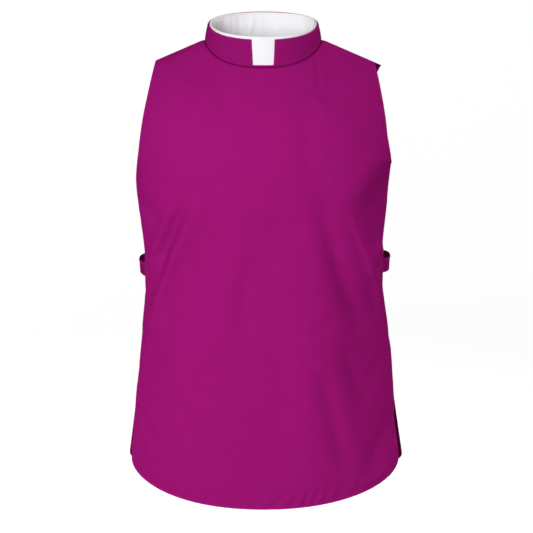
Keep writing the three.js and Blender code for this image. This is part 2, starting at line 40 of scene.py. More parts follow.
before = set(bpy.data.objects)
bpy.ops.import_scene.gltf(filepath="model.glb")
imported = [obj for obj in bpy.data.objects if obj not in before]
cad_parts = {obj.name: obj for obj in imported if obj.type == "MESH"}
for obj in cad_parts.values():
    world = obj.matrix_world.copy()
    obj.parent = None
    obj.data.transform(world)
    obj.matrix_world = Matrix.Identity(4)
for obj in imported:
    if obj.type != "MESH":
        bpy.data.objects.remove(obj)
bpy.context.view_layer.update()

import math

import bpy
import numpy as np
from bpy.props import FloatProperty, FloatVectorProperty, PointerProperty
from mathutils import Vector

MM = 0.001


def table(names, rows):
    """One array of metres for each named column, from rows in millimetres."""
    return {name: np.array(column, float) * MM for name, column in zip(names.split(), zip(*rows))}


# Level sections of the worn form, from the shoulders down: half width, depth in front and behind.
FORM = table("z half front back", [
    (60, 168, 58, 84),
    (0, 178, 70, 92),
    (-60, 188, 92, 108),
    (-120, 192, 112, 120),
    (-200, 185, 124, 123),
    (-320, 178, 121, 108),
    (-450, 190, 124, 112),
    (-600, 211, 128, 121),
    (-690, 216, 129, 124),
])

# How far the armhole and side edges stand out from the middle, on the wearer's right and left.
FRONT_EDGE = table("z right left", [
    (-29.5, 150.6, 155.6),
    (-60, 157.2, 162),
    (-110, 167, 170),
    (-150, 172.4, 173.8),
    (-192, 176.8, 178.8),
    (-222, 174.4, 178.4),
    (-250, 169.8, 175.4),
    (-300, 164.4, 167.8),
    (-345, 164.8, 167.2),
    (-400, 169.2, 176),
    (-430, 172.4, 181.8),
    (-470, 176.8, 184.8),
    (-530, 181.2, 188.4),
    (-582, 185.2, 191.8),
])
BACK_EDGE = table("z right left", [
    (-29.5, 150.6, 155.6),
    (-60, 154, 157),
    (-110, 160, 162),
    (-150, 165, 167),
    (-192, 169, 171),
    (-250, 165.5, 167.5),
    (-300, 163.6, 165),
    (-345, 164, 166),
    (-400, 168.5, 173),
    (-450, 175.5, 181),
    (-518, 184.8, 190.6),
    (-603, 196.6, 202.8),
])

# Folds run from x0, z0 to x1, z1 and bow sideways by bow at the middle. wide is half a fold's
# width, and out is how far it stands out of the cloth, or sinks in if negative.
FOLD_COLUMNS = "x0 z0 x1 z1 bow wide out"
FRONT_FOLDS = table(FOLD_COLUMNS, [
    # drawn towards the strap on the wearer's right
    (-122, -216, -166, -336, 2, 7, 4),
    (-102, -210, -162, -352, 2, 10, -5.4),
    (-84, -208, -162, -404, 3, 11, 5),
    (-60, -236, -110, -430, 0, 17, -2.8),
    (-16, -204, -78, -440, 0, 27, 3.4),
    (-171, -214, -142, -250, 0, 8, -2),
    (-146, -398, -166, -480, 0, 17, -2.6),
    # drawn towards the strap on the wearer's left, under the fuller side of the chest
    (180, -138, 98, -226, -6, 21, 4.4),
    (168, -166, 161, -294, 0, 28, -7),
    (118, -230, 179, -412, -5, 6, 5),
    (76, -206, 142, -404, 5, 14, -5),
    (56, -222, 104, -406, 4, 20, 1.8),
    (110, -416, 146, -506, 0, 13, -3.4),
    (78, -446, 118, -594, 2, 14, -4.2),
    (190, -508, 146, -606, 0, 15, -3.8),
    # below the collar on the wearer's left
    (56, -40, 64, -196, 0, 17, -2),
    # slack down the middle
    (-20, -286, -34, -430, 0, 14, -1.8),
    (34, -330, 26, -560, 0, 17, -1.6),
    (50, -250, 72, -640, 0, 44, 6),
    (144, -322, 160, -604, 0, 32, -6.5),
])
BACK_FOLDS = table(FOLD_COLUMNS, [
    (-96, -232, -168, -404, 6, 9, 4),
    (-118, -226, -160, -340, 4, 8, -3.4),
    (90, -226, 170, -396, -6, 9, 4.4),
    (122, -214, 162, -336, -4, 8, -3.6),
    (-52, -250, -84, -420, 5, 15, -3),
    (44, -280, 82, -450, -5, 15, -3),
    (6, -300, -8, -560, 0, 20, 2.6),
    (-120, -430, -136, -590, 0, 18, -3),
    (128, -440, 120, -600, 0, 18, -3),
])
# Finer creases that lie on those.
FRONT_CREASES = table(FOLD_COLUMNS, [
    # under the collar
    (-104, -14, -70, -62, 0, 20, -3.2),
    (-58, -24, -56, -96, 0, 7, -1.2),
    (-62, -70, -62, -130, 0, 7, 0.9),
    (74, -16, 77, -70, 0, 5, -1.3),
    (112, -14, 78, -80, 0, 22, -3.4),
    # crests and a groove on the folds towards the strap on the wearer's right
    (-119, -220, -158, -322, 2, 5, 2),
    (-90, -218, -150, -380, 3, 6, 1.6),
    (-118, -280, -172, -452, 2, 6, 2.8),
    (-98, -290, -150, -464, 0, 13, -1.8),
    (-108, -220, -160, -346, 2, 7, -2.4),
    # short ones beside the straps and down the side edges
    (-178, -472, -154, -494, 0, 4, -1.0),
    (-172, -512, -140, -566, 0, 6, -1.2),
    (150, -296, 164, -360, -2, 3, 0.8),
    (170, -430, 150, -474, 0, 5, -0.8),
    (176, -520, 150, -556, 0, 5, 0.7),
    # across the belly
    (-120, -330, -60, -372, 5, 6, 0.6),
    (60, -410, 120, -372, -4, 7, -0.7),
    (-90, -520, -60, -600, 0, 9, -0.9),
])
BACK_CREASES = table(FOLD_COLUMNS, [
    (-112, -236, -166, -372, 3, 5, 1.8),
    (-102, -250, -152, -424, 2, 7, -2.0),
    (108, -232, 168, -380, -3, 5, 1.8),
    (98, -244, 150, -428, -2, 8, -2.2),
    (30, -462, 54, -612, 0, 14, -1.8),
    (-70, -456, -92, -604, 0, 15, 1.8),
    (-40, 0, -34, -70, 0, 6, -0.8),
    (38, 0, 44, -66, 0, 6, 0.7),
    (-158, -300, -140, -360, 0, 4, 0.8),
    (158, -300, 142, -366, 0, 4, -0.8),
    (-110, -340, -50, -390, 5, 7, 0.7),
    (60, -400, 116, -366, -4, 7, -0.7),
    (96, -520, 70, -606, 0, 9, -0.9),
    (-20, -440, -34, -560, 0, 8, -0.7),
])

# level is the height of a strap's middle, half how far it stands out at the side, and lean how much
# further its top edge stands out than its bottom edge.
STRAPS = {
    "side_strap_right": {"turn": -1, "level": -317 * MM, "half": 174.8 * MM, "lean": 2.2 * MM},
    "side_strap_left": {"turn": 1, "level": -312.5 * MM, "half": 179.2 * MM, "lean": 1.9 * MM},
}

FRONT = {
    "side": -1,
    "depth": "front",
    "edge": FRONT_EDGE,
    "folds": FRONT_FOLDS,
    "creases": FRONT_CREASES,
    "rounding": 130 * MM,
    "nape": 0.0,
    "neck_depth": 66 * MM,
    "neck_power": 2.3,
    "hem_drop": 60 * MM,
    "left_reach": 0.0,
}
BACK = {
    "side": 1,
    "depth": "back",
    "edge": BACK_EDGE,
    "folds": BACK_FOLDS,
    "creases": BACK_CREASES,
    "rounding": 110 * MM,
    "nape": 20 * MM,
    "neck_depth": 58 * MM,
    "neck_power": 2.3,
    "hem_drop": 53 * MM,
    "left_reach": 10 * MM,
}
# The form's section, shoulder line and neck hole, how closely a column's points lie at its top, and
# how far down the wider left back shoulder fades.
SECTION_POWER = 2.4
SHOULDER_SLOPE = 0.43
NECK_HALF = 82 * MM
ROLL = 120 * MM
REACH_FADE = 45 * MM
# Gaps between pieces, and the reach, across and up, over which a strap holds the cloth flat.
SEAM_GAP = 0.4 * MM
SHOULDER_LAP = 0.1 * MM
STRAP_HOLD = (36 * MM, 28 * MM)
# Where the hem's turning sets in above the side edges' ends, and over what height.
HEM_ABOVE = 14 * MM
HEM_FADE = 16 * MM
# The hem's puckers: how far along it a wave turns by a radian, how far the waves' drift and swells
# do, and how far in their lean does. Then how strong they are everywhere, and from which x to which
# they grow to their full strength and fade again.
PUCKER_WAVE = 3.1 * MM
PUCKER_DRIFT = 17.3 * MM
PUCKER_LEAN = 6 * MM
PUCKER_SWELLS = (18.3 * MM, 31 * MM)
PUCKER_BASE = 0.18
PUCKERED = (-40 * MM, 60 * MM, 84 * MM, 150 * MM)


# ---------------------------------------------------------------- sizes and colours


def length(name, description, default, low=0.0, high=1.0):
    """A length in metres that the user can change."""
    return FloatProperty(name=name, description=description, default=default, min=low, max=high,
                         unit="LENGTH", precision=4)


def number(name, description, default, unit="NONE"):
    """A number that the user can change, in a unit's own measure."""
    return FloatProperty(name=name, description=description, default=default, unit=unit)


def colour(name, description, default):
    """A colour that the user can change."""
    return FloatVectorProperty(name=name, description=description, default=default, size=3,
                               subtype="COLOR", min=0.0, max=1.0)


class ClothSizes(bpy.types.PropertyGroup):
    """The panels' cloth and its edges."""

    thickness: length("Cloth", "Thickness of the panels' faced cloth", 1.1 * MM)
    hem_thickness: length("Turned edge", "Thickness of a turned and stitched edge", 1.9 * MM)
    hem_width: length("Hem", "Width of the hem, up to its stitching", 7 * MM)
    side_width: length("Side turning", "Width of the turned armhole and side edges", 4.6 * MM)
    slit_length: length("Back slit", "Length of the opening below the collar", 140 * MM)
    slit_width: length("Slit width", "How far the opening's edges stand apart", 0.02 * MM)
    stitch: length("Stitch", "Length of one stitch with its gap", 2.6 * MM)
    thread: length("Thread", "Thickness of the sewing thread", 0.34 * MM)
    pucker: length("Pucker", "How far the stitching draws the hem in and out", 1.7 * MM)
    neck_dip: length("Neck dip", "How far the cloth sinks at the neckband's seam", 0.9 * MM)


class CollarSizes(bpy.types.PropertyGroup):
    """The purple neckband and the white slip-in collar."""

    rim_half: length("Rim half width", "Half width of the band's top edge", 77.6 * MM)
    rim_front: length("Rim front", "Reach of the top edge to the front", 62 * MM)
    rim_back: length("Rim back", "Reach of the top edge to the back", 57 * MM)
    rim_height: length("Rim height", "Height of the top edge at the sides", 19.5 * MM)
    rim_tip: length("Rim tip", "How much lower the top edge is in front, and higher behind",
                    17.5 * MM)
    rim_side: length("Rim side", "How much further the top edge is raised at the sides", 2.6 * MM)
    band: length("Band", "Thickness of the interfaced band", 2 * MM)
    crown: length("Crown", "How far the band stands out half way up", 0.6 * MM)
    notch_top: length("Notch top", "Width of the notch at its top", 32.2 * MM)
    notch_bottom: length("Notch bottom", "Width of the notch at its foot", 29 * MM)
    notch_foot: length("Notch foot", "Height of the band that runs on below the notch", 3.2 * MM)
    overlap: length("Overlap", "Overlap of the band's two ends", 22 * MM)
    ramp: length("Step", "Length over which the outer end steps out", 14 * MM)
    insert: length("Slip-in collar", "Thickness of the white collar", 2 * MM)
    insert_height: length("Slip-in height", "Height of the white collar", 40 * MM)
    insert_proud: length("Slip-in rim", "How far the white shows above the band in front", 4 * MM)
    insert_low: length("Slip-in back", "How far the white lies below the band's top behind",
                       0.8 * MM)


class StrapSizes(bpy.types.PropertyGroup):
    """The side straps and the neck button."""

    height: length("Strap height", "Height of a side strap", 20 * MM)
    thickness: length("Strap", "Thickness of a strap", 1.5 * MM)
    tuck: length("Tuck", "How far a strap's ends reach under the panels", 16 * MM)
    button_thickness: length("Button", "Thickness of the neck button", 2.2 * MM)


class ClothLook(bpy.types.PropertyGroup):
    """The colours and the weave."""

    purple: colour("Purple", "Colour of the cloth", (0.37, 0.0085, 0.184))
    purple_deep: colour("Deep purple", "Colour of the cloth's darker threads",
                        (0.325, 0.0070, 0.158))
    strap: colour("Strap", "Colour of the straps", (0.33, 0.0075, 0.165))
    white: colour("White", "Colour of the slip-in collar", (0.935, 0.935, 0.95))
    button: colour("Button", "Colour of the neck button", (0.22, 0.008, 0.11))
    thread: colour("Thread", "Colour of the purple sewing thread", (0.30, 0.008, 0.150))
    weave: length("Weave", "Distance from one thread of the weave to the next", 0.42 * MM)


class StudioSizes(bpy.types.PropertyGroup):
    """Camera, floor and lights."""

    distance: length("Camera distance", "From the camera to the middle of the garment", 3.0,
                     0.5, 20)
    pitch: number("Camera pitch", "How steeply the camera looks down", math.radians(8.5),
                  "ROTATION")
    frame_width: length("Frame width", "What the camera takes in at that distance", 756.86 * MM)
    aim_x: length("Aim across", "Where the camera aims, across", 4.7 * MM, -1.0)
    aim_z: length("Aim height", "Where the camera aims, up and down", -321 * MM, -2.0)
    floor: length("Floor", "Height of the floor", -1.48, -5.0)
    key: number("Key light", "Power of the key light", 84.0, "POWER")
    top: number("Top light", "Power of the top light", 4.0, "POWER")
    back: number("Back lights", "Power of the stronger back light", 72.0, "POWER")
    around: number("Surroundings", "Brightness of the room", 0.20)
    backdrop: number("Backdrop", "Glow of the white floor and backdrop", 0.8)


# ---------------------------------------------------------------- the worn surface


def along(rows, column, z):
    """A table's column at heights z.

    Between two rows it is the cubic whose end slopes are the harmonic means of the neighbouring
    chords' slopes, so that it is smooth and never overshoots a row.
    """
    x = -rows["z"]
    y = rows[column]
    chord = np.diff(y) / np.diff(x)
    both = chord[1:] * chord[:-1]
    total = np.where(both > 0, chord[1:] + chord[:-1], 1.0)
    slope = np.concatenate((chord[:1], np.where(both > 0, 2 * both / total, 0.0), chord[-1:]))
    q = np.clip(-np.asarray(z, float), x[0], x[-1])
    k = np.clip(np.searchsorted(x, q, side="right") - 1, 0, len(x) - 2)
    step = x[k + 1] - x[k]
    t = (q - x[k]) / step
    ends = (1 + 2 * t) * (1 - t) ** 2 * y[k] + t * t * (3 - 2 * t) * y[k + 1]
    return ends + step * (t * (1 - t) ** 2 * slope[k] + t * t * (t - 1) * slope[k + 1])


def quadrant(q, power):
    """Height of a superellipse of half width 1 at share q of it: (1 - q^power)^(1 / power)."""
    return (1 - np.minimum(np.abs(q), 1) ** power) ** (1 / power)


def smooth(x, low, high):
    """0 up to low, 1 from high, and 3t^2 - 2t^3 between them."""
    t = np.clip((x - low) / (high - low), 0, 1)
    return t * t * (3 - 2 * t)


def ridge(panel, x):
    """The form's top over x: the sloping shoulder line, and a rounded top inside the neck hole."""
    inside = 1 - np.minimum(np.abs(x) / NECK_HALF, 1) ** 2
    crown = SHOULDER_SLOPE * NECK_HALF * inside / 2 + panel["nape"] * inside ** 2
    return crown - SHOULDER_SLOPE * np.maximum(np.abs(x) - NECK_HALF, 0)


def depth(panel, x, z):
    """How far the form reaches to the panel's side at x and z.

    A superellipse section, times a quarter circle's rise over the rounding of the shoulder.
    """
    section = along(FORM, panel["depth"], z) * quadrant(x / along(FORM, "half", z), SECTION_POWER)
    below = np.clip((ridge(panel, x) - z) / panel["rounding"], 0, 1)
    return section * np.sqrt(1 - (1 - below) ** 2)


def outwards(panel, x, z):
    """Unit vectors out of the form at x and z, from the depth's slopes across and up."""
    d = 0.5 * MM
    top = ridge(panel, x)
    high = np.minimum(z + d, top)
    by_x = (depth(panel, x + d, z) - depth(panel, x - d, z)) / (2 * d)
    by_z = (depth(panel, x, high) - depth(panel, x, z - d)) / np.maximum(high - z + d, d / 2)
    out = np.stack((-by_x, np.full_like(by_x, panel["side"]), -by_z), -1)
    flat = np.stack((SHOULDER_SLOPE * np.sign(x), np.zeros_like(by_x), np.ones_like(by_x)), -1)
    out = np.where((z > top - 1e-6)[..., None], flat, out)
    return out / np.linalg.norm(out, axis=-1, keepdims=True)


def edge_half(panel, right, z):
    """How far the panel's edge stands out at z: the table's curve, then the hem's ellipse."""
    rows = panel["edge"]
    table_half = np.where(right, along(rows, "right", z), along(rows, "left", z))
    end = np.where(right, rows["right"][-1], rows["left"][-1])
    below = np.clip((rows["z"][-1] - z) / panel["hem_drop"], 0, 1)
    return np.where(below > 0, end * np.sqrt(1 - below ** 2), table_half)


def fold_sum(rows, x, z):
    """Sum of the folds at x and z.

    Each is a Gaussian across its own bowed line, and swells and dies away along it as the 0.7th
    power of a parabola.
    """
    out = np.zeros(np.broadcast(x, z).shape)
    for x0, z0, x1, z1, bow, wide, high in zip(*rows.values()):
        run = math.hypot(x1 - x0, z1 - z0)
        t = np.clip(((x - x0) * (x1 - x0) + (z - z0) * (z1 - z0)) / run ** 2, 0, 1)
        arch = 4 * t * (1 - t)
        aside = ((x - x0) * (z1 - z0) - (z - z0) * (x1 - x0)) / run - bow * arch
        out += high * arch ** 0.7 * np.exp(-((aside / wide) ** 2))
    return out


def fold_height(panel, x, z):
    """The folds and finer creases at x and z, held flat where a strap is sewn under the edge.

    Below the chest the cloth also goes slack by half a millimetre, as two crossed slow sines.
    """
    right = x < 0
    level = np.where(right, *(STRAPS["side_strap_" + side]["level"] for side in ("right", "left")))
    from_edge = (np.abs(x) - edge_half(panel, right, z)) / STRAP_HOLD[0]
    away = np.hypot(from_edge, (z - level) / STRAP_HOLD[1])
    slack = smooth(-z, 0.10, 0.30) * 0.5 * MM * (
        np.sin(x / 0.031 + 1.7 * np.sin(z / 0.083)) * np.sin(z / 0.062 + 0.6 + x / 0.11)
    )
    far = smooth(away, 0.6, 1.2)
    folds = fold_sum(panel["folds"], x, z)
    folds = folds * np.where(folds > 0, smooth(away, 0.15, 0.55), far)
    return folds + far * (fold_sum(panel["creases"], x, z) + slack)


def worn(panel, x, z, lift=0.0):
    """Points of the cloth's outside at x and z, moved out by lift."""
    x, z = np.broadcast_arrays(np.asarray(x, float), np.asarray(z, float))
    y = panel["side"] * (depth(panel, x, z) - SHOULDER_LAP)
    out = outwards(panel, x, z)
    return np.stack((x, y, z), -1) + out * (fold_height(panel, x, z) + lift)[..., None], out


def neck_height(panel, x):
    """Where the form is as deep as the neck hole at x, by 40 halvings of the rounding."""
    wanted = panel["neck_depth"] * quadrant(x / NECK_HALF, panel["neck_power"])
    high = ridge(panel, x)
    low = high - panel["rounding"]
    for _ in range(40):
        middle = (high + low) / 2
        shallow = depth(panel, x, middle) < wanted
        high = np.where(shallow, middle, high)
        low = np.where(shallow, low, middle)
    return (high + low) / 2


def place_of(fall):
    """The place down a column that has fallen so far: fallen(place) = place^2 / (place + ROLL)."""
    return (fall + np.sqrt(fall ** 2 + 4 * ROLL * fall)) / 2


def column_z(panel, share, top_x, v):
    """Heights down the columns at share of the width, whose tops are at top_x, at shares v down.

    A column leaves the shoulder line or the neck edge and ends on the hem's ellipse, at 45 degrees
    of it for the outermost one. Its points lie close together on the shoulder, where the cloth is
    level.
    """
    top = ridge(panel, top_x)
    in_neck = np.abs(top_x) < NECK_HALF
    start = np.where(in_neck, place_of(np.maximum(top - neck_height(panel, top_x), 0)), 0.0)
    bottom = panel["edge"]["z"][-1] - panel["hem_drop"] * np.sqrt(1 - share ** 2 / 2)
    place = start * (1 - v) ** 6 + place_of(top - bottom) * v
    return top - place ** 2 / (place + ROLL)


def panel_spots(panel, u, v):
    """The x and z of a panel's grid: shares u across, -1 to 1, by shares v down, 0 to 1."""
    u, v = np.meshgrid(u, v)
    right = u < 0
    shoulder = edge_half(panel, right, np.full_like(u, panel["edge"]["z"][0]))
    reach = np.where(right, 0.0, panel["left_reach"] * np.abs(u) ** 6)
    edge_z = column_z(panel, np.ones_like(u), shoulder, v)
    fade = np.maximum(0, 1 - (ridge(panel, shoulder) - edge_z) / REACH_FADE) ** 2
    x = u * edge_half(panel, right, edge_z) + reach * fade
    return x, column_z(panel, u, u * shoulder + reach, v)


# ---------------------------------------------------------------- closed cloth


def shell_faces(shape, keep):
    """Quads of a closed wall over a grid, rows by columns, with the cells in keep.

    The outer sheet's points come first, then the inner sheet's. A quad joins the sheets along every
    side of a kept cell that has no kept neighbour.
    """
    rows, columns = shape
    at = np.arange(rows * columns).reshape(rows, columns)
    a, b, c, d = at[:-1, :-1], at[1:, :-1], at[1:, 1:], at[:-1, 1:]
    inner = rows * columns
    faces = [np.stack((a, b, c, d), -1)[keep], inner + np.stack((a, d, c, b), -1)[keep]]
    padded = np.pad(keep, 1)
    neighbours = (
        (padded[1:-1, :-2], a, b),
        (padded[2:, 1:-1], b, c),
        (padded[1:-1, 2:], c, d),
        (padded[:-2, 1:-1], d, a),
    )
    for neighbour, start, end in neighbours:
        bare = keep & ~neighbour
        s, e = start[bare], end[bare]
        faces.append(np.stack((e, s, s + inner, e + inner), -1))
    return np.concatenate(faces)


def volume(points, quads):
    """Six times the volume inside quads, split into triangles."""
    p = points[quads]
    one = np.einsum("ij,ij->i", p[:, 0], np.cross(p[:, 1], p[:, 2]))
    return (one + np.einsum("ij,ij->i", p[:, 0], np.cross(p[:, 2], p[:, 3]))).sum()


def make_object(name, points, quads, uv=None, **attributes):
    """A smooth-shaded mesh object at the origin, with its faces outwards.

    uv is in metres along the cloth, and each attribute is a number for every point.
    """
    if volume(points, quads) < 0:
        quads = quads[:, ::-1]
    used, place = np.unique(quads, return_inverse=True)
    corners = place.ravel()
    mesh = bpy.data.meshes.new(name)
    mesh.vertices.add(len(used))
    mesh.vertices.foreach_set("co", points[used].astype(np.float32).ravel())
    mesh.loops.add(corners.size)
    mesh.loops.foreach_set("vertex_index", corners.astype(np.int32))
    mesh.polygons.add(len(quads))
    mesh.polygons.foreach_set("loop_start", np.arange(0, corners.size, 4, dtype=np.int32))
    mesh.polygons.foreach_set("use_smooth", np.ones(len(quads), bool))
    mesh.update(calc_edges=True)
    mesh.validate()
    if uv is not None:
        layer = mesh.uv_layers.new(name="cloth")
        layer.data.foreach_set("uv", uv[used][corners].astype(np.float32).ravel())
    for key, values in attributes.items():
        layer = mesh.attributes.new(key, "FLOAT", "POINT")
        layer.data.foreach_set("value", values[used].astype(np.float32))
    piece = bpy.data.objects.new(name, mesh)
    bpy.context.scene.collection.objects.link(piece)
    return piece


def cloth_shell(name, middle, out, outer, inner, uv, shift=0.3, keep=None, **attributes):
    """A closed shell of cloth that reaches outer and inner to the two sides of its middle surface.

    The inner side's uv is moved on by shift, and its attributes are the outer side's.
    """
    if keep is None:
        keep = np.ones((len(middle) - 1, len(middle[0]) - 1), bool)
    sides = [(middle + out * side[..., None]).reshape(-1, 3) for side in (outer, -inner)]
    uv = np.stack(uv, -1).reshape(-1, 2)
    both = {key: np.tile(values.ravel(), 2) for key, values in attributes.items()}
    return make_object(name, np.concatenate(sides), shell_faces(middle.shape[:2], keep),
                       np.concatenate((uv, uv + shift)), **both)


def tube_quads(at):
    """Quads between neighbouring closed rings of point numbers, each ring a row of at."""
    after = np.roll(at, -1, axis=-1)
    near, far = slice(None, -1), slice(1, None)
    corners = (at[..., near, :], after[..., near, :], after[..., far, :], at[..., far, :])
    return np.stack(corners, -1).reshape(-1, 4)


def finish_piece(piece, material, slot, *nodes):
    """Gives a piece its material and its body, and hides the solids that it stands for."""
    piece.data.materials.append(material)
    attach(piece, "root")
    if nodes:
        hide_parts(*nodes)
    return piece


def walk(points, axis):
    """Length along a grid's rows or columns from its first point, by summing the steps."""
    steps = np.linalg.norm(np.diff(points, axis=axis), axis=-1)
    lead = np.zeros_like(np.take(steps, [0], axis=axis))
    return np.concatenate((lead, np.cumsum(steps, axis=axis)), axis=axis)


def nearest(points, line):
    """Distance from each point to a line, and how far along the line its nearest spot lies.

    The matrix of squared distances gives the nearest point of the line, and each point is then
    dropped onto the two chords beside that one.
    """
    run = walk(line, 0)
    found = []
    for flat in np.array_split(points.reshape(-1, 3), 8):
        square = (flat ** 2).sum(1)[:, None] + (line ** 2).sum(1)[None] - 2 * flat @ line.T
        near = np.clip(square.argmin(1), 1, len(line) - 2)
        best, spot = np.full(len(flat), np.inf), np.zeros(len(flat))
        for start in (near - 1, near):
            chord = line[start + 1] - line[start]
            t = np.clip(((flat - line[start]) * chord).sum(1) / (chord ** 2).sum(1), 0, 1)
            gap = np.linalg.norm(flat - line[start] - chord * t[:, None], axis=1)
            spot = np.where(gap < best, run[start] + t * (run[start + 1] - run[start]), spot)
            best = np.minimum(best, gap)
        found.append((best, spot))
    return [np.concatenate(part).reshape(points.shape[:-1]) for part in zip(*found)]


def rounded(distance, half):
    """Half thickness beside an edge: a quarter circle of radius half, never under a fifth of it."""
    q = np.clip(distance / half, 0, 1)
    return half * np.maximum(np.sqrt(1 - (1 - q) ** 2), 0.2)


def edge_spacing(span, count, fine):
    """Distances from an edge, 0 to span: the fine ones first, then count even steps."""
    return np.concatenate((fine, np.linspace(fine[-1], span, count + 1)[1:]))


# ---------------------------------------------------------------- sewing


def stitch_mesh(line, out, pitch, thread, fill=0.74):
    """Points and quads of a row of stitches along a line of points with outward vectors.

    Each stitch is a six-sided tube over a share fill of its pitch. It stands half proud of the
    cloth in the middle, and its two ends dive under it. lift and girth are shares of the thread's
    thickness and radius.
    """
    run = walk(line, 0)
    count = max(1, int(run[-1] / pitch))
    stations = np.array([0.0, 0.14, 0.38, 0.62, 0.86, 1.0])
    lift = np.array([-0.75, -0.1, 0.22, 0.22, -0.1, -0.75])
    girth = np.array([0.45, 0.85, 1.0, 1.0, 0.85, 0.45])
    starts = (np.arange(count) + (1 - fill) / 2) * run[-1] / count
    spots = starts[:, None] + stations[None, :] * fill * run[-1] / count
    centre, up = (np.stack([np.interp(spots, run, part[:, k]) for k in range(3)], -1)
                  for part in (line, out))
    up /= np.linalg.norm(up, axis=-1, keepdims=True)
    ahead = centre[:, -1:] - centre[:, :1]
    ahead = ahead / np.linalg.norm(ahead, axis=-1, keepdims=True)
    across = np.cross(ahead, up)
    across /= np.linalg.norm(across, axis=-1, keepdims=True)
    centre = centre + up * (lift * thread)[None, :, None]
    turn = (np.arange(6) * math.pi / 3)[:, None]
    ring = np.cos(turn) * across[:, :, None, :] + np.sin(turn) * up[:, :, None, :]
    points = centre[:, :, None, :] + ring * (thread / 2 * girth)[None, :, None, None]
    at = np.arange(count * 36).reshape(count, 6, 6)
    caps = [at[:, end][:, corners] for end, corners in (
        (0, [0, 1, 2, 3]), (0, [0, 3, 4, 5]), (-1, [3, 2, 1, 0]), (-1, [5, 4, 3, 0]))]
    return points.reshape(-1, 3), np.concatenate([tube_quads(at)] + caps)


def joined(meshes):
    """The points and quads of several meshes as those of one."""
    points, quads = zip(*meshes)
    offsets = np.cumsum([0] + [len(p) for p in points[:-1]])
    return np.concatenate(points), np.concatenate([q + k for q, k in zip(quads, offsets)])


def sew(name, rows, pitch, thread, material, slot, fill=0.74):
    """One piece of all the stitches along several lines, each points with outward vectors."""
    mesh = joined(stitch_mesh(line, out, pitch, thread, fill) for line, out in rows)
    return finish_piece(make_object(name, *mesh), material, slot)


def inset_line(panel, x, z, distance, lift):
    """The line on the cloth that runs inside the edge x, z at a distance, with its outward vectors.

    From each point of the edge a step goes in square to the edge, and is lengthened or shortened
    until it is as long as the distance, measured on the cloth.
    """
    step_x, step_z = np.gradient(x), np.gradient(z)
    size = np.hypot(step_x, step_z)
    in_x, in_z = -step_z / size, step_x / size
    if ((PANEL_MIDDLE[0] - x) * in_x + (PANEL_MIDDLE[1] - z) * in_z).mean() < 0:
        in_x, in_z = -in_x, -in_z
    on_edge, _ = worn(panel, x, z)
    reach = np.full_like(x, distance)
    for _ in range(4):
        there, _ = worn(panel, x + in_x * reach, z + in_z * reach)
        reach *= distance / np.maximum(np.linalg.norm(there - on_edge, axis=-1), distance / 4)
    return worn(panel, x + in_x * reach, z + in_z * reach, lift)


# ---------------------------------------------------------------- panels

# The depth of the waist below the shoulders, a panel's middle in x and z, and the distances from an
# edge at which its fine rows and columns of points lie.
WAIST = 300 * MM
PANEL_MIDDLE = (0.0, -330 * MM)
FINE = np.array([0, 0.25, 0.6, 1.1, 2.0, 3.2, 4.6, 6.0]) * MM


def panel_shares(panel, cloth, neck_count=58, side_count=42):
    """Shares across a panel: close together at its edges, at the neck's sides and at the slit."""
    rows = panel["edge"]
    halves = []
    for shoulder in (rows["right"][0], rows["left"][0]):
        neck = NECK_HALF * np.sin(np.linspace(0, math.pi / 2, neck_count + 1))
        neck = np.append(neck[neck < NECK_HALF - 1.2 * MM], NECK_HALF)
        edge = shoulder - edge_spacing(shoulder - NECK_HALF, side_count, FINE)
        slit = cloth.slit_width / 2 + np.array([0, 0.3, 0.8, 1.6]) * MM
        out = np.concatenate((neck[neck > slit[-1] + 0.8 * MM], edge[-2::-1]))
        halves.append(np.concatenate(([0], slit, out)) / shoulder)
    return np.concatenate((-halves[0][:0:-1], halves[1]))


def panel_downs(panel, count=144):
    """Shares down a panel: close together at the shoulder and at the hem."""
    length_down = panel["hem_drop"] - panel["edge"]["z"][-1]
    lower = 1 - edge_spacing(0.97, count, FINE / length_down)[::-1]
    return np.concatenate(([0, 0.0008, 0.002, 0.005, 0.011, 0.020], lower))


def free_edge(panel, step=2 * MM, count=600):
    """The panel's free edge in x and z at even steps: down one side, round the hem and up again."""
    v = np.linspace(0, 1, count)
    down_x, down_z = panel_spots(panel, np.array([-1.0, 1.0]), v)
    hem_x, hem_z = panel_spots(panel, np.linspace(-1, 1, count), np.array([1.0]))
    x = np.concatenate((down_x[:-1, 0], hem_x[0], down_x[-2::-1, 1]))
    z = np.concatenate((down_z[:-1, 0], hem_z[0], down_z[-2::-1, 1]))
    run = walk(worn(panel, x, z)[0], 0)
    spots = np.linspace(0, run[-1], int(run[-1] / step))
    return np.interp(spots, run, x), np.interp(spots, run, z)


def hem_share(panel, z):
    """0 on the side edges and 1 on the hem."""
    return smooth(panel["edge"]["z"][-1] + HEM_ABOVE - z, 0, HEM_FADE)


def turning_width(panel, cloth, z):
    """How wide the edge is turned in: the side turning's width, and the hem's on the hem."""
    return cloth.side_width + (cloth.hem_width - cloth.side_width) * hem_share(panel, z)


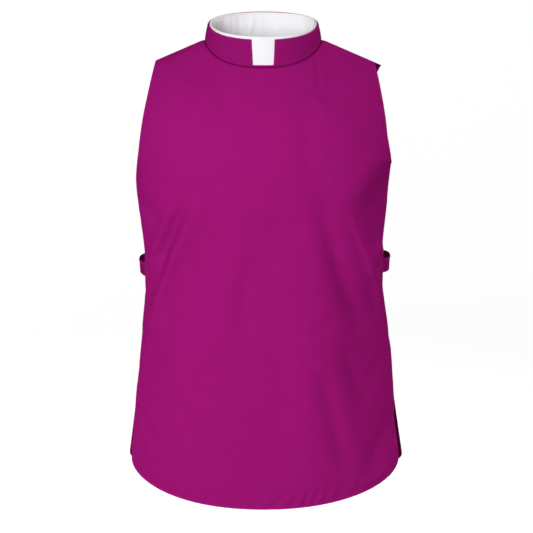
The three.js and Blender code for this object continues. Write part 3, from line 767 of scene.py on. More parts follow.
def drawn_in(panel, cloth, x, z, free, run):
    """How far the stitched edge is drawn in and out at a distance free from it and run along it.

    A sine along the edge whose phase drifts and leans, times a Gaussian about the stitching and a
    slow swell. It is strongest on the wearer's left side of the hem.
    """
    width = turning_width(panel, cloth, z)
    start, full, fade, end = PUCKERED
    gathered = smooth(x, start, full) * (1 - smooth(x, fade, end)) * hem_share(panel, z)
    amount = cloth.pucker * (PUCKER_BASE + (1 - PUCKER_BASE) * gathered)
    swell = 0.7 + 0.3 * np.sin(run / PUCKER_SWELLS[0] + 1.3 * np.sin(run / PUCKER_SWELLS[1]))
    wave = np.sin(run / PUCKER_WAVE + 2.2 * np.sin(run / PUCKER_DRIFT) - free / PUCKER_LEAN)
    return amount * swell * wave * np.exp(-(((free - 1.6 * width) / (1.2 * width)) ** 2))


def build_panel(name, panel, cloth, slit=False):
    """A panel as a closed shell over its grid of shares.

    The cloth's middle lies half its thickness inside the worn surface, and sinks at the neck's
    seam. Half a thickness goes out and in from it, more where the edge is turned, and falls round
    to a fifth of that at the edges themselves.
    """
    u, v = panel_shares(panel, cloth), panel_downs(panel)
    x, z = panel_spots(panel, u, v)
    middle = int(np.argmin(np.abs(u)))
    surface, out = worn(panel, x, z)
    free, run = nearest(surface, worn(panel, *free_edge(panel))[0])
    down = walk(surface, 0)
    surface = surface + out * drawn_in(panel, cloth, x, z, free, run)[..., None]
    width = turning_width(panel, cloth, z)
    keep = np.ones((len(v) - 1, len(u) - 1), bool)
    if slit:
        row = int(np.argmin(np.abs(z[:, middle] - slit_ends(panel, cloth)[1])))
        keep[:row, middle - 1:middle + 1] = False
        beside = np.hypot(np.maximum(np.abs(x) - cloth.slit_width / 2, 0),
                          np.maximum(z[row, middle] - z, 0))
        width = np.where(beside < free, cloth.side_width, width)
        free = np.minimum(free, beside)
    turned = 1 - smooth(free, width - 0.5 * MM, width + 1.0 * MM)
    half = (cloth.thickness + (cloth.hem_thickness - cloth.thickness) * turned) / 2
    turn = np.linspace(-math.pi / 2, math.pi / 2, 400)
    neck, _ = nearest(surface, neck_edge(turn if panel["side"] < 0 else math.pi - turn))
    on_shoulder = np.abs(u * panel["edge"]["left"][0])[None, :] >= NECK_HALF * 0.99
    shoulder = np.where(on_shoulder, down, 1.0)
    half = np.minimum(half, rounded(free, cloth.hem_thickness / 2))
    half = np.minimum(half, rounded(shoulder, cloth.thickness / 2))
    dip = cloth.neck_dip * (1 - smooth(neck, 0, 5 * cloth.neck_dip))
    core = surface - out * (cloth.thickness / 2 + dip)[..., None]
    across = walk(surface * (1, 1, 0), 1)
    at_waist = np.array([np.interp(WAIST, -z[:, k], down[:, k]) for k in range(len(u))])
    # The material paints shade by the seam distance and a highlight by the edge distance.
    return cloth_shell(
        name, core, out, half, half, (across - across[:, [middle]], at_waist - down), 0.7, keep,
        stitched=free - width, edge=free, seam=np.minimum(neck, shoulder + 1.2 * MM),
    )


def edge_seam(panel, cloth, lift):
    """The stitched line inside a panel's free edge, with its outward vectors."""
    x, z = free_edge(panel)
    width = turning_width(panel, cloth, z)
    run = walk(worn(panel, x, z)[0], 0)
    line, out = inset_line(panel, x, z, width, 0.0)
    drawn = drawn_in(panel, cloth, line[:, 0], line[:, 2], width, run)
    keep = slice(3, -3)
    return (line + out * (drawn + lift)[:, None])[keep], out[keep]


def shoulder_seam(panel, turn, inset, lift):
    """A stitched line along the shoulder, so far below its seam, from the neck to the armhole."""
    right = panel["edge"]["right"][0]
    end = right if turn < 0 else panel["edge"]["left"][0] + panel["left_reach"]
    x = turn * np.linspace(NECK_HALF + 5 * MM, end - 3 * MM, 90)
    z = ridge(panel, x)
    drop = np.full_like(x, inset)
    on_top = worn(panel, x, z)[0]
    for _ in range(5):
        there = worn(panel, x, z - drop)[0]
        drop *= inset / np.maximum(np.linalg.norm(there - on_top, axis=-1), inset / 5)
    return worn(panel, x, z - drop, lift)


def slit_ends(panel, cloth):
    """The heights of the slit's top and foot."""
    top = neck_height(panel, np.array(0.0))
    return top, top - cloth.slit_length


def slit_seams(panel, cloth, lift):
    """The stitching down both sides of the slit and across below it."""
    top, foot = slit_ends(panel, cloth)
    top, foot = top - 3 * MM, foot - cloth.side_width
    side = cloth.slit_width / 2 + cloth.side_width
    x = np.array([-side, -side, side, side])
    z = np.array([top, foot, foot, top])
    run = walk(np.stack((x, z), -1), 0)
    spots = np.arange(0, run[-1], 1.5 * MM)
    return worn(panel, np.interp(spots, run, x), np.interp(spots, run, z), lift)


# ---------------------------------------------------------------- collar

# The band's height in front, how far its outside lies inside the seam line, and how far in it is
# stitched. BUTTON_RISE lifts the button and its hole above the middle of the band.
BAND_HEIGHT = 38 * MM
BAND_INSET = 0.45 * MM
BAND_STITCH = 3.2 * MM
BUTTON_RISE = 1.6 * MM
# The white collar's lower edge is a superellipse with its own reach in front and behind.
INSERT_HALF = 75.5 * MM
INSERT_FRONT = 63 * MM
INSERT_BACK = 54 * MM
INSERT_POWER = 2.2
INSERT_STITCH = 3.5 * MM


def neck_edge(angle):
    """The neck hole's edge: x = half width * sin(angle), 0 at the front and pi at the back."""
    x = NECK_HALF * np.sin(angle)
    front, back = (worn(p, x, neck_height(p, x))[0] for p in (FRONT, BACK))
    return np.where((np.cos(angle) >= 0)[..., None], front, back)


def rim_edge(collar, angle):
    """The collar's top edge: an ellipse with its own reach in front and behind, tipped forwards.

    It is raised at the sides by a power of the sine, 8 in front of them and 2 behind.
    """
    cosine = np.cos(angle)
    side = np.abs(np.sin(angle)) ** np.where(cosine >= 0, 8, 2)
    reach = np.where(cosine >= 0, collar.rim_front, collar.rim_back)
    return np.stack((collar.rim_half * np.sin(angle), -reach * cosine,
                     collar.rim_height - collar.rim_tip * cosine + collar.rim_side * side), -1)


def ring_out(ring, angle):
    """Level unit vectors out of a ring, square to its run at each angle."""
    run = ring(angle + 0.01) - ring(angle - 0.01)
    out = np.stack((run[..., 1], -run[..., 0], np.zeros_like(run[..., 0])), -1)
    return out / np.linalg.norm(out, axis=-1, keepdims=True)


def lap_angle(collar):
    """How far past the middle of the back each of the band's two ends reaches, in radians."""
    return collar.overlap / 2 / BACK["neck_depth"]


def band_points(collar, angle, t, lift, foot):
    """The neckband at share t up it, lift outside the seam line, with its foot raised by foot.

    A straight line from the neck edge up to the rim, bowed out by crown * 4t(1 - t).
    """
    out = ring_out(lambda a: rim_edge(collar, a), angle)
    low = neck_edge(angle) + ring_out(neck_edge, angle) * lift[..., None]
    low[..., 2] += foot
    high = rim_edge(collar, angle) + out * lift[..., None]
    bow = collar.crown * 4 * t * (1 - t)
    return low + (high - low) * t[..., None] + out * bow[..., None], out


def band_step(collar, angle):
    """How far the band lies outside the seam line and how far its foot is raised, at each angle.

    The end on the wearer's left rises first and then steps out, so that it lies over the other end.
    Elsewhere the foot is sunk by 1 mm into the cloth's dip.
    """
    start = math.pi - lap_angle(collar)
    ramp = collar.ramp / BACK["neck_depth"]
    risen = smooth(angle, start - 2 * ramp, start - ramp)
    stepped = smooth(angle, start - ramp, start - ramp / 4)
    return stepped * (collar.band + SEAM_GAP) - BAND_INSET, risen * 0.5 * MM - 1.0 * MM


def notch_half(collar, t):
    """Half the notch's width in radians at share t up the band, and the share of its foot."""
    foot = collar.notch_foot / BAND_HEIGHT
    up = np.clip((t - foot) / (1 - foot), 0, 1)
    half = (collar.notch_bottom + (collar.notch_top - collar.notch_bottom) * up) / 2
    return np.arcsin(half / (NECK_HALF + (collar.rim_half - NECK_HALF) * t)), foot


def build_neckband(name, collar):
    """The band as a closed shell over angles round the neck and shares up it.

    The grid's columns beside the notch follow its slanting sides, and the cells between them are
    left out above the notch's foot.
    """
    end = math.pi + lap_angle(collar)
    _, foot_share = notch_half(collar, 0.0)
    fine = np.array([0, 0.3, 0.7, 1.3, 2.2]) * MM / collar.rim_half / math.pi
    side = np.concatenate((fine, np.linspace(fine[-1], 1 - fine[-1], 150)[1:-1], 1 - fine[::-1]))
    bridge = np.linspace(-1, 1, 17)
    t = np.concatenate((
        foot_share * np.array([0, 0.5, 0.8, 1]), foot_share + np.array([0.008, 0.02, 0.04]),
        np.linspace(0.13, 0.91, 17), [0.94, 0.966, 0.984, 0.994, 1],
    ))
    notch = notch_half(collar, t)[0][:, None]
    around = notch + (end - notch) * side
    angle = np.concatenate((-around[:, ::-1], (notch * bridge)[:, 1:-1], around), 1)
    t = np.broadcast_to(t[:, None], angle.shape)
    lift, foot = band_step(collar, angle)
    middle, out = band_points(collar, angle, t, lift - collar.band / 2, foot)
    height = walk(middle, 0)
    beside = np.where(t > foot_share, (np.abs(angle) - notch) * collar.rim_half, 1.0)
    beside = np.where(np.abs(angle) < notch * 0.999, (foot_share - t) * BAND_HEIGHT, beside)
    ends = (end - np.abs(angle)) * BACK["neck_depth"]
    free = np.maximum(np.minimum.reduce([height[-1:] - height, beside, ends]), 0)
    half = rounded(free, collar.band / 2)
    keep = np.ones((t.shape[0] - 1, t.shape[1] - 1), bool)
    first = len(side) - 1
    keep[int(np.argmin(np.abs(t[:, 0] - foot_share))):, first:first + len(bridge) - 1] = False
    # The material paints shade by the seam distance and a highlight by the edge distance.
    return cloth_shell(
        name, middle, out, half, half, (walk(middle, 1), height), keep=keep,
        stitched=free - BAND_STITCH, edge=free, seam=height + 0.5 * MM,
    )


def band_seams(collar, lift):
    """The neckband's stitching: along its top and foot on both sides, and down beside the notch."""
    low_t, high_t = (collar.notch_foot + 2 * MM) / BAND_HEIGHT, 1 - BAND_STITCH / BAND_HEIGHT
    inset = BAND_STITCH / collar.rim_half
    foot, start = (notch_half(collar, t)[0] + inset for t in (low_t, high_t))
    end = math.pi + lap_angle(collar) - BAND_STITCH / BACK["neck_depth"]
    lines = []
    for turn in (-1, 1):
        for from_angle, to_angle, from_t, to_t, count in (
            (start, end, high_t, high_t, 400),
            (foot, start, low_t, high_t, 30),
            (foot, end, low_t, low_t, 400),
            (end, end, low_t, high_t, 30),
        ):
            angle = turn * np.linspace(from_angle, to_angle, count)
            step, rise = band_step(collar, angle)
            t = np.linspace(from_t, to_t, count)
            lines.append(band_points(collar, angle, t, step + lift, rise))
    return lines


def insert_points(collar, angle, t, lift):
    """The slip-in collar at share t up it, lift outside its own outer face.

    A straight line from a superellipse inside the neck hole up to the rim, inside the band.
    """
    out = ring_out(lambda a: rim_edge(collar, a), angle)
    inside = BAND_INSET + collar.band + 0.5 * MM
    high = rim_edge(collar, angle) + out * (lift - inside)[..., None]
    sine, cosine = np.sin(angle), np.cos(angle)
    proud = (collar.insert_proud + collar.insert_low) * (1 + cosine) / 2 - collar.insert_low
    high[..., 2] += proud
    across, ahead = (np.sign(q) * np.abs(q) ** (2 / INSERT_POWER) for q in (sine, cosine))
    reach = np.where(cosine >= 0, INSERT_FRONT, INSERT_BACK)
    low_z = high[..., 2] - collar.insert_height
    low = np.stack((INSERT_HALF * across, -reach * ahead, low_z), -1) + out * lift[..., None]
    return low + (high - low) * t[..., None], out


# Soft slanting creases inside the white collar: where they lie round it and how they lean, in
# thousandths of a radian, how wide they are, and how far they stand out of its inner face.
COLLAR_CREASES = table("at lean wide deep", [
    (1740, 60, 60, 0.5),
    (1980, 60, 50, -0.6),
    (2200, 90, 55, 0.7),
    (2430, -70, 40, -0.6),
    (2640, 60, 60, 0.9),
    (2860, -90, 40, -0.8),
    (3060, 70, 60, 0.8),
    (-2930, -60, 45, -0.9),
    (-2700, 110, 55, 0.8),
    (-2460, 60, 35, -0.5),
    (-2270, -80, 60, 0.55),
    (-2050, 90, 45, -0.35),
    (-1800, 60, 60, 0.3),
])


def build_insert(name, collar):
    """The white collar as a closed shell inside the band, with its ends meeting at the back."""
    end = math.pi - 0.01 * MM / INSERT_BACK
    fine = np.array([0, 0.04, 0.3, 1.0]) * MM / INSERT_BACK
    half = np.concatenate((np.linspace(0, end - fine[-1], 170), (end - fine[:-1])[::-1]))
    low_t = np.array([0, 0.008, 0.02, 0.04])
    t = np.concatenate((low_t, np.linspace(0.07, 0.93, 18), 1 - low_t[::-1]))
    angle, t = np.meshgrid(np.concatenate((-half[:0:-1], half)), t)
    dent = np.zeros_like(angle)
    for at, lean, wide, deep in zip(*COLLAR_CREASES.values()):
        dent += deep * np.exp(-(((angle - at - lean * (t - 0.5)) / wide) ** 2))
    middle, out = insert_points(collar, angle, t, np.full_like(angle, -collar.insert / 2))
    height = walk(middle, 0)
    free = np.minimum(height, height[-1:] - height)
    thick = rounded(free, collar.insert / 2)
    dented = thick - dent * np.sqrt(np.sin(math.pi * t)) * smooth(free, 0, 3 * MM)
    return cloth_shell(
        name, middle, out, thick, dented, (walk(middle, 1), height),
        stitched=free - INSERT_STITCH, edge=free, seam=np.ones_like(free),
    )


def insert_seams(collar, lift):
    """The white collar's stitching, along its bottom and its top."""
    angle = np.linspace(-3.08, 3.08, 700)
    inset = INSERT_STITCH / collar.insert_height
    return [
        insert_points(collar, angle, np.full_like(angle, share), np.full_like(angle, lift))
        for share in (inset, 1 - inset)
    ]


# ---------------------------------------------------------------- straps and button

# How far under the panels' outside a strap lies, and how far in it is stitched.
STRAP_UNDER = 1.9 * MM
STRAP_STITCH = 2.2 * MM


def strap_points(strap, straps, angle, z, lift):
    """A strap round the side of the form, 0 at the side, negative towards the front.

    Under the panels' edges it follows their inside. Between them it stands out on a superellipse of
    its own half width, which leans with the height.
    """
    front = angle < 0
    right = np.full_like(angle, strap["turn"] < 0, dtype=bool)
    level = np.full_like(angle, strap["level"])
    edge = np.where(front, edge_half(FRONT, right, level), edge_half(BACK, right, level))
    edge_angle = np.arccos((edge / along(FORM, "half", level)) ** (SECTION_POWER / 2))
    free = 1 - smooth(np.abs(angle), edge_angle / 2, edge_angle)
    own = strap["half"] + strap["lean"] * (z - strap["level"]) / straps.height
    form_half = along(FORM, "half", z)
    half = form_half + (own - form_half) * free
    reach = np.where(front, along(FORM, "front", z), along(FORM, "back", z))
    side = np.where(front, -1.0, 1.0)
    x = half * np.cos(angle) ** (2 / SECTION_POWER)
    y = side * reach * np.abs(np.sin(angle)) ** (2 / SECTION_POWER)
    nx = x ** (SECTION_POWER - 1) / half ** SECTION_POWER
    ny = side * np.abs(y) ** (SECTION_POWER - 1) / reach ** SECTION_POWER
    size = np.hypot(nx, ny)
    push = lift - STRAP_UNDER * (1 - free)
    turn = np.array([strap["turn"], 1, 1])
    spot = np.stack((x + nx / size * push, y + ny / size * push, z), -1)
    return spot * turn, np.stack((nx / size, ny / size, np.zeros_like(z)), -1) * turn


def strap_ends(strap, straps):
    """The angles at which a strap's two ends lie, inside the panels' edges."""
    ends = []
    for panel, sign in ((FRONT, -1), (BACK, 1)):
        edge = edge_half(panel, np.array(strap["turn"] < 0), np.array(strap["level"])) - straps.tuck
        share = float(edge / along(FORM, "half", strap["level"]))
        ends.append(sign * math.acos(share ** (SECTION_POWER / 2)))
    return ends


def build_strap(name, strap, straps):
    """A strap as a closed shell over angles round the side and heights, its edges rounded."""
    inset = np.array([0, 0.3, 0.8, 1.6, 2.6, 4.0]) * MM
    share = np.concatenate((inset, np.linspace(6 * MM, straps.height - 6 * MM, 7),
                            straps.height - inset[::-1]))
    angle, down = np.meshgrid(np.linspace(*strap_ends(strap, straps), 130), share)
    z = strap["level"] + straps.height / 2 - down
    middle, out = strap_points(strap, straps, angle, z, np.full_like(z, -straps.thickness / 2))
    middle = middle + out * (0.3 * MM * np.sin(angle * 9 + z / 0.006))[..., None]
    run = walk(middle, 1)
    free = np.minimum.reduce([down, straps.height - down, run, run[:, -1:] - run])
    half = rounded(free, straps.thickness / 2)
    # The material paints a highlight along the strap's edges by the edge distance.
    return cloth_shell(
        name, middle, out, half, half, (run, -down),
        stitched=np.minimum(down, straps.height - down) - STRAP_STITCH, edge=free,
        seam=np.ones_like(free),
    )


def strap_seams(strap, straps, lift):
    """The stitching along a strap's two edges."""
    angle = np.linspace(*strap_ends(strap, straps), 160)
    inset = straps.height / 2 - STRAP_STITCH
    return [
        strap_points(strap, straps, angle, np.full_like(angle, strap["level"] + side), lift)
        for side in (-inset, inset)
    ]


def outer_lift(collar):
    """How far the outside of the band's outer end lies outside the seam line."""
    return collar.band + SEAM_GAP - BAND_INSET


def button_centre(collar, straps):
    """The middle of the button, on the outside of the band's outer end."""
    lift = np.array([outer_lift(collar) + straps.button_thickness / 2])
    back, half_way, rise = (np.array([value]) for value in (math.pi, 0.5, BUTTON_RISE))
    return band_points(collar, back, half_way, lift, rise)[0][0]


# How far the button's holes lie from its middle, and its profile from the face's middle round the
# rim to the back's.
HOLE_OUT = 1.6 * MM
BUTTON_PROFILE = table("radius height", [
    (0.2, 0.5), (0.5, 0.5), (0.8, 0.5), (1.05, 0.5), (1.3, 0.5), (1.5, 0.5), (1.7, 0.5), (1.9, 0.5),
    (2.15, 0.5), (2.4, 0.5), (2.8, 0.52), (3.3, 0.56), (3.8, 0.68), (4.2, 0.88), (4.6, 1.04),
    (4.9, 1.1), (5.2, 1.02), (5.4, 0.8), (5.5, 0.45), (5.5, -0.3), (5.4, -0.8), (5.0, -1.1),
    (3.0, -1.1), (0.4, -1.1),
])


def build_button(name, centre):
    """A dished button turned from its profile, with four wells that its thread goes down.

    A well sinks the face by 1.1 mm times a smooth step of the distance from the hole's middle.
    """
    turn = np.linspace(0, 2 * math.pi, 73)[:-1]
    r, y = (BUTTON_PROFILE[c][:, None] for c in ("radius", "height"))
    x, z = r * np.cos(turn), r * np.sin(turn)
    y = np.broadcast_to(y, x.shape).copy()
    hole = np.hypot(np.abs(x) - HOLE_OUT / math.sqrt(2), np.abs(z) - HOLE_OUT / math.sqrt(2))
    y -= np.where(y > 0, 1.1 * MM * (1 - smooth(hole, 0.35 * MM, 0.75 * MM)), 0)
    at = np.arange(x.size).reshape(x.shape)
    quads = tube_quads(at)
    for pole, ring, order in ((x.size, at[0], 1), (x.size + 1, at[-1], -1)):
        a, b, c = ring[::2], ring[1::2], np.roll(ring, -2)[::2]
        fan = np.stack((np.full_like(a, pole), c, b, a), -1)
        quads = np.concatenate((quads, fan[:, ::order]))
    poles = [(0, BUTTON_PROFILE["height"][end], 0) for end in (0, -1)]
    points = np.concatenate((np.stack((x, y, z), -1).reshape(-1, 3), poles))
    return make_object(name, points + centre, quads)


def button_thread_lines(centre):
    """Two crossed bundles of thread over the button, from hole to hole."""
    lines = []
    for slant, shift, over in ((1, -0.15, 0.0), (1, 0.15, 0.0), (-1, -0.15, 0.2), (-1, 0.15, 0.2)):
        t = np.linspace(-1, 1, 11)
        reach = HOLE_OUT / math.sqrt(2) * t
        y = 0.62 * MM + (0.2 + over) * MM * (1 - t ** 2) - 0.7 * MM * smooth(np.abs(t), 0.75, 1)
        side = np.array([-slant, 0, 1]) * shift * MM / math.sqrt(2)
        line = np.stack((reach, y, reach * slant), -1) + side + centre
        lines.append((line, np.tile([0.0, 1.0, 0.0], (11, 1))))
    return lines


def buttonhole_line(collar, lift):
    """Close stitches to and fro round the buttonhole that the button is through."""
    half_length, half_height = 7.6 * MM, 1.2 * MM
    count = 44
    angle = math.pi + np.linspace(-half_length, half_length, count) / (BACK["neck_depth"] - 2 * MM)
    t = 0.5 + np.where(np.arange(count) % 2, half_height, -half_height) / BAND_HEIGHT
    step = np.full_like(angle, outer_lift(collar) + lift)
    return band_points(collar, angle, t, step, np.full_like(angle, BUTTON_RISE))


# ---------------------------------------------------------------- materials

WEAVE_DEPTH = 0.09 * MM


class Shader:
    """A new material whose shader holds its plain values, and the nodes that vary them."""

    def __init__(self, name, base, roughness, sheen, specular):
        self.material = bpy.data.materials.new(name)
        self.material.use_nodes = True
        self.material.diffuse_color = (*base, 1)
        self.tree = self.material.node_tree
        self.surface = self.tree.nodes["Principled BSDF"]
        self.feed(self.surface, {
            "Base Color": (*base, 1), "Roughness": roughness, "Specular IOR Level": specular,
            "Sheen Weight": sheen, "Sheen Roughness": 0.45, "Sheen Tint": (*base, 1),
        })

    def feed(self, node, inputs):
        """Links a socket to each named or numbered input of a node, or sets its own value."""
        for key, value in inputs.items():
            if isinstance(value, bpy.types.NodeSocket):
                self.tree.links.new(value, node.inputs[key])
            elif value is not None:
                node.inputs[key].default_value = value

    def add(self, kind, inputs=None, **settings):
        """A node with its settings and inputs, beside the last one in rows of eight."""
        count = len(self.tree.nodes)
        node = self.tree.nodes.new(kind)
        node.location = (200 * (count % 8) - 1800, 240 * (count // 8) - 300)
        for key, value in settings.items():
            setattr(node, key, value)
        self.feed(node, inputs or {})
        return node

    def math(self, operation, first, second=None):
        """One or two values, sockets or numbers, under an operation."""
        return self.add("ShaderNodeMath", {0: first, 1: second}, operation=operation).outputs[0]

    def noise(self, scale, detail, roughness=0.55):
        """A noise on the piece's own coordinates, in metres, with scale features to the metre."""
        place = self.add("ShaderNodeTexCoord").outputs["Object"]
        return self.add("ShaderNodeTexNoise", {
            "Vector": place, "Scale": scale, "Detail": detail, "Roughness": roughness,
        }).outputs["Fac"]

    def attribute(self, name):
        """A point attribute of the piece."""
        return self.add("ShaderNodeAttribute", attribute_name=name).outputs["Fac"]

    def remap(self, value, low, high, to_low, to_high, kind="LINEAR"):
        """value from low..high to to_low..to_high."""
        return self.add("ShaderNodeMapRange", {
            "Value": value, "From Min": low, "From Max": high, "To Min": to_low, "To Max": to_high,
        }, interpolation_type=kind).outputs["Result"]

    def bump(self, height, distance, strength, normal=None):
        """A bump of a height from 0 to 1, so many metres high, over another one."""
        return self.add("ShaderNodeBump", {
            "Height": height, "Distance": distance, "Strength": strength, "Normal": normal,
        }).outputs["Normal"]

    def weave(self, pitch):
        """A plain weave's height: the product of two sines, with half a wave to a thread."""
        uv = self.add("ShaderNodeUVMap", uv_map="cloth").outputs["UV"]
        split = self.add("ShaderNodeSeparateXYZ", {"Vector": uv})
        across, down = (
            self.math("SINE", self.math("MULTIPLY", split.outputs[axis], math.pi / pitch))
            for axis in "XY"
        )
        return self.math("MULTIPLY", across, down)


def cloth_material(name, light, deep, pitch, weave_depth, wrinkle, sheen, roughness=0.82,
                   groove=0.3 * MM, painted_edge_highlight=1.22):
    """Woven cloth: two close shades mottled over it, a weave, fine wrinkles and a stitched groove.

    Broad and fine noise, three to one, and the weave share out the two shades. Painted shade
    darkens the cloth at a seam, and a painted highlight makes it lighter along an edge by a set
    factor.
    """
    shader = Shader(name, light, roughness, sheen, 0.0)
    weave = shader.weave(pitch)
    broad, fine = (shader.math("MULTIPLY", shader.noise(scale, detail), part)
                   for scale, detail, part in ((48, 4, 0.75), (620, 3, 0.25)))
    mottle = shader.remap(shader.math("ADD", broad, fine), 0.25, 0.75, 0.1, 0.9)
    share = shader.math("ADD", mottle, shader.remap(weave, -1, 1, 0, 0.35))
    mix = shader.add("ShaderNodeMix", {"Factor": shader.math("MULTIPLY", share, 0.75)},
                     data_type="RGBA")
    for socket in mix.inputs:
        if socket.type == "RGBA":
            socket.default_value = (*(deep if socket.name == "A" else light), 1)
    # Painted shade: the colour darkens near a seam, where shade falls in its crease.
    painted_seam_shade = shader.remap(shader.attribute("seam"), 0.4 * MM, 2.6 * MM, 0.4, 1.0, "SMOOTHSTEP")
    # Painted highlight: the colour lightens along an edge, where a turned edge catches light.
    rim = shader.remap(shader.attribute("edge"), 1.2 * MM, 3.4 * MM, painted_edge_highlight, 1.0, "SMOOTHSTEP")
    shade = shader.add("ShaderNodeVectorMath", {
        "Vector": next(socket for socket in mix.outputs if socket.type == "RGBA"),
        "Scale": shader.math("MULTIPLY", painted_seam_shade, rim),
    }, operation="SCALE")
    from_stitch = shader.math("ABSOLUTE", shader.attribute("stitched"))
    pressed = shader.remap(from_stitch, 0, 1.3 * MM, 0, 1, "SMOOTHSTEP")
    normal = shader.bump(shader.noise(75, 4, 0.6), wrinkle, 1.0)
    normal = shader.bump(weave, weave_depth, 0.6, shader.bump(pressed, groove, 1.0, normal))
    shader.feed(shader.surface, {"Base Color": shade.outputs["Vector"], "Normal": normal})
    return shader.material


def thread_material(name, base):
    """Spun thread: fine ridges, rougher on their tops."""
    shader = Shader(name, base, 0.6, 0.3, 0.3)
    twist = shader.noise(2400, 2)
    shader.feed(shader.surface, {
        "Roughness": shader.remap(twist, 0.3, 0.7, 0.5, 0.7),
        "Normal": shader.bump(twist, 0.05 * MM, 0.8),
    })
    return shader.material


def button_material(name, base):
    """Moulded plastic with a faint cloudiness and fine scuffs."""
    shader = Shader(name, base, 0.32, 0.0, 0.5)
    cloud = shader.noise(260, 4)
    shader.feed(shader.surface, {
        "Roughness": shader.remap(cloud, 0.3, 0.7, 0.24, 0.42),
        "Normal": shader.bump(cloud, 0.06 * MM, 0.4),
    })
    return shader.material


def shades(*parts):
    """Colours as plain tuples, each a colour times a share."""
    return [tuple(share * part for part in colour) for colour, share in parts]


def purple_cloth(look):
    """The panels' cloth, made once."""
    return bpy.data.materials.get("purple cloth") or cloth_material(
        "purple cloth", *shades((look.purple, 1), (look.purple_deep, 1)), look.weave,
        WEAVE_DEPTH, 0.5 * MM, 0.2)


def shaded_band_cloth(look):
    """The neckband's cloth: the panels' purple made darker, as painted shade on the band."""
    return cloth_material(
        "neckband cloth", *shades((look.purple, 0.85), (look.purple_deep, 0.85)), look.weave,
        WEAVE_DEPTH, 0.3 * MM, 0.1)


def strap_cloth(look):
    """The straps' cloth."""
    return cloth_material("strap cloth", *shades((look.strap, 1), (look.strap, 0.8)), look.weave,
                          WEAVE_DEPTH, 0.3 * MM, 0.1)


def white_cloth(look):
    """The slip-in collar's smooth starched cloth."""
    return cloth_material("white starched cloth", *shades((look.white, 1), (look.white, 0.955)),
                          look.weave, 0.03 * MM, 0.22 * MM, 0.0, 0.6, 0.25 * MM, 1.0)


def purple_thread(look):
    """The purple sewing thread, made once."""
    name = "purple thread"
    return bpy.data.materials.get(name) or thread_material(name, tuple(look.thread))


# ---------------------------------------------------------------- studio

# In metres: the flat floor's radius, the radius of its bend into the wall, and the wall's height.
FLOOR_RADIUS = 6.0
FLOOR_BEND = 3.0
WALL_HEIGHT = 9.0
# The width of the camera's sensor, in millimetres.
SENSOR = 36


def build_floor(studio):
    """A round white floor that bends up into a wall: a quarter circle of height 1 - cos over sin.

    It glows a little, and neither diffuse nor glossy rays see it.
    """
    turn = np.linspace(0, 2 * math.pi, 97)[:-1]
    bend = np.linspace(0, math.pi / 2, 13)
    flat = [0.02, 1.5, 3.5, 5.5]
    wall = FLOOR_RADIUS + FLOOR_BEND
    radius = np.concatenate((flat, FLOOR_RADIUS + FLOOR_BEND * np.sin(bend), [wall]))
    height = np.concatenate((np.zeros(len(flat)), FLOOR_BEND * (1 - np.cos(bend)), [WALL_HEIGHT]))
    x, y = radius[:, None] * np.cos(turn), radius[:, None] * np.sin(turn)
    z = np.broadcast_to((height + studio.floor)[:, None], x.shape)
    at = np.arange(x.size).reshape(x.shape)
    faces = tube_quads(at)[:, ::-1].tolist() + [at[0].tolist()]
    mesh = bpy.data.meshes.new("studio_floor")
    mesh.from_pydata(np.stack((x, y, z), -1).reshape(-1, 3).tolist(), [], faces)
    mesh.polygons.foreach_set("use_smooth", np.ones(len(mesh.polygons), bool))
    white = Shader("studio white", (0.8, 0.8, 0.8), 0.9, 0.0, 0.0)
    white.feed(white.surface, {
        "Emission Color": (1, 1, 1, 1), "Emission Strength": studio.backdrop,
    })
    mesh.materials.append(white.material)
    floor = bpy.data.objects.new("studio_floor", mesh)
    bpy.context.scene.collection.objects.link(floor)
    floor.visible_diffuse = False
    floor.visible_glossy = False
    return floor


# ---------------------------------------------------------------- operators

# How far the panels', band's and straps' stitching lies over the cloth's outside.
STITCH_LIFT = 0.1 * MM


def settings(context, *names):
    """The scene's property groups of those names."""
    return [getattr(context.scene, "shirtfront_" + name) for name in names]


class MakeFrontPanel(bpy.types.Operator):
    """The front, with its turned and stitched edges"""

    bl_idname = "shirtfront.front_panel"
    bl_label = "Front panel"

    def execute(self, context):
        cloth, look = settings(context, "cloth", "look")
        piece = build_panel("front", FRONT, cloth)
        finish_piece(piece, purple_cloth(look), "purple_cloth", "front_panel")
        rows = [edge_seam(FRONT, cloth, STITCH_LIFT)]
        sewing = sew("front_stitching", rows, cloth.stitch, cloth.thread, purple_thread(look),
                     "purple_cloth")
        return {"FINISHED"}


class MakeBackPanel(bpy.types.Operator):
    """The back, with its slit below the collar and the shoulder seams' stitching"""

    bl_idname = "shirtfront.back_panel"
    bl_label = "Back panel"

    def execute(self, context):
        cloth, look = settings(context, "cloth", "look")
        piece = build_panel("back", BACK, cloth, slit=True)
        finish_piece(piece, purple_cloth(look), "purple_cloth", "back_panel")
        rows = [edge_seam(BACK, cloth, STITCH_LIFT), slit_seams(BACK, cloth, STITCH_LIFT)]
        rows += [shoulder_seam(BACK, turn, 4.5 * MM, STITCH_LIFT) for turn in (-1, 1)]
        sewing = sew("back_stitching", rows, cloth.stitch, cloth.thread, purple_thread(look),
                     "purple_cloth")
        return {"FINISHED"}


class MakeNeckband(bpy.types.Operator):
    """The stand collar with its front notch, its overlap behind and its stitching"""

    bl_idname = "shirtfront.neckband"
    bl_label = "Neckband"

    def execute(self, context):
        collar, cloth, look = settings(context, "collar", "cloth", "look")
        piece = build_neckband("neckband_cloth", collar)
        finish_piece(piece, shaded_band_cloth(look), "purple_cloth", "neckband")
        sewing = sew("neckband_stitching", band_seams(collar, STITCH_LIFT), cloth.stitch,
                     cloth.thread * 0.9, purple_thread(look), "purple_cloth")
        return {"FINISHED"}


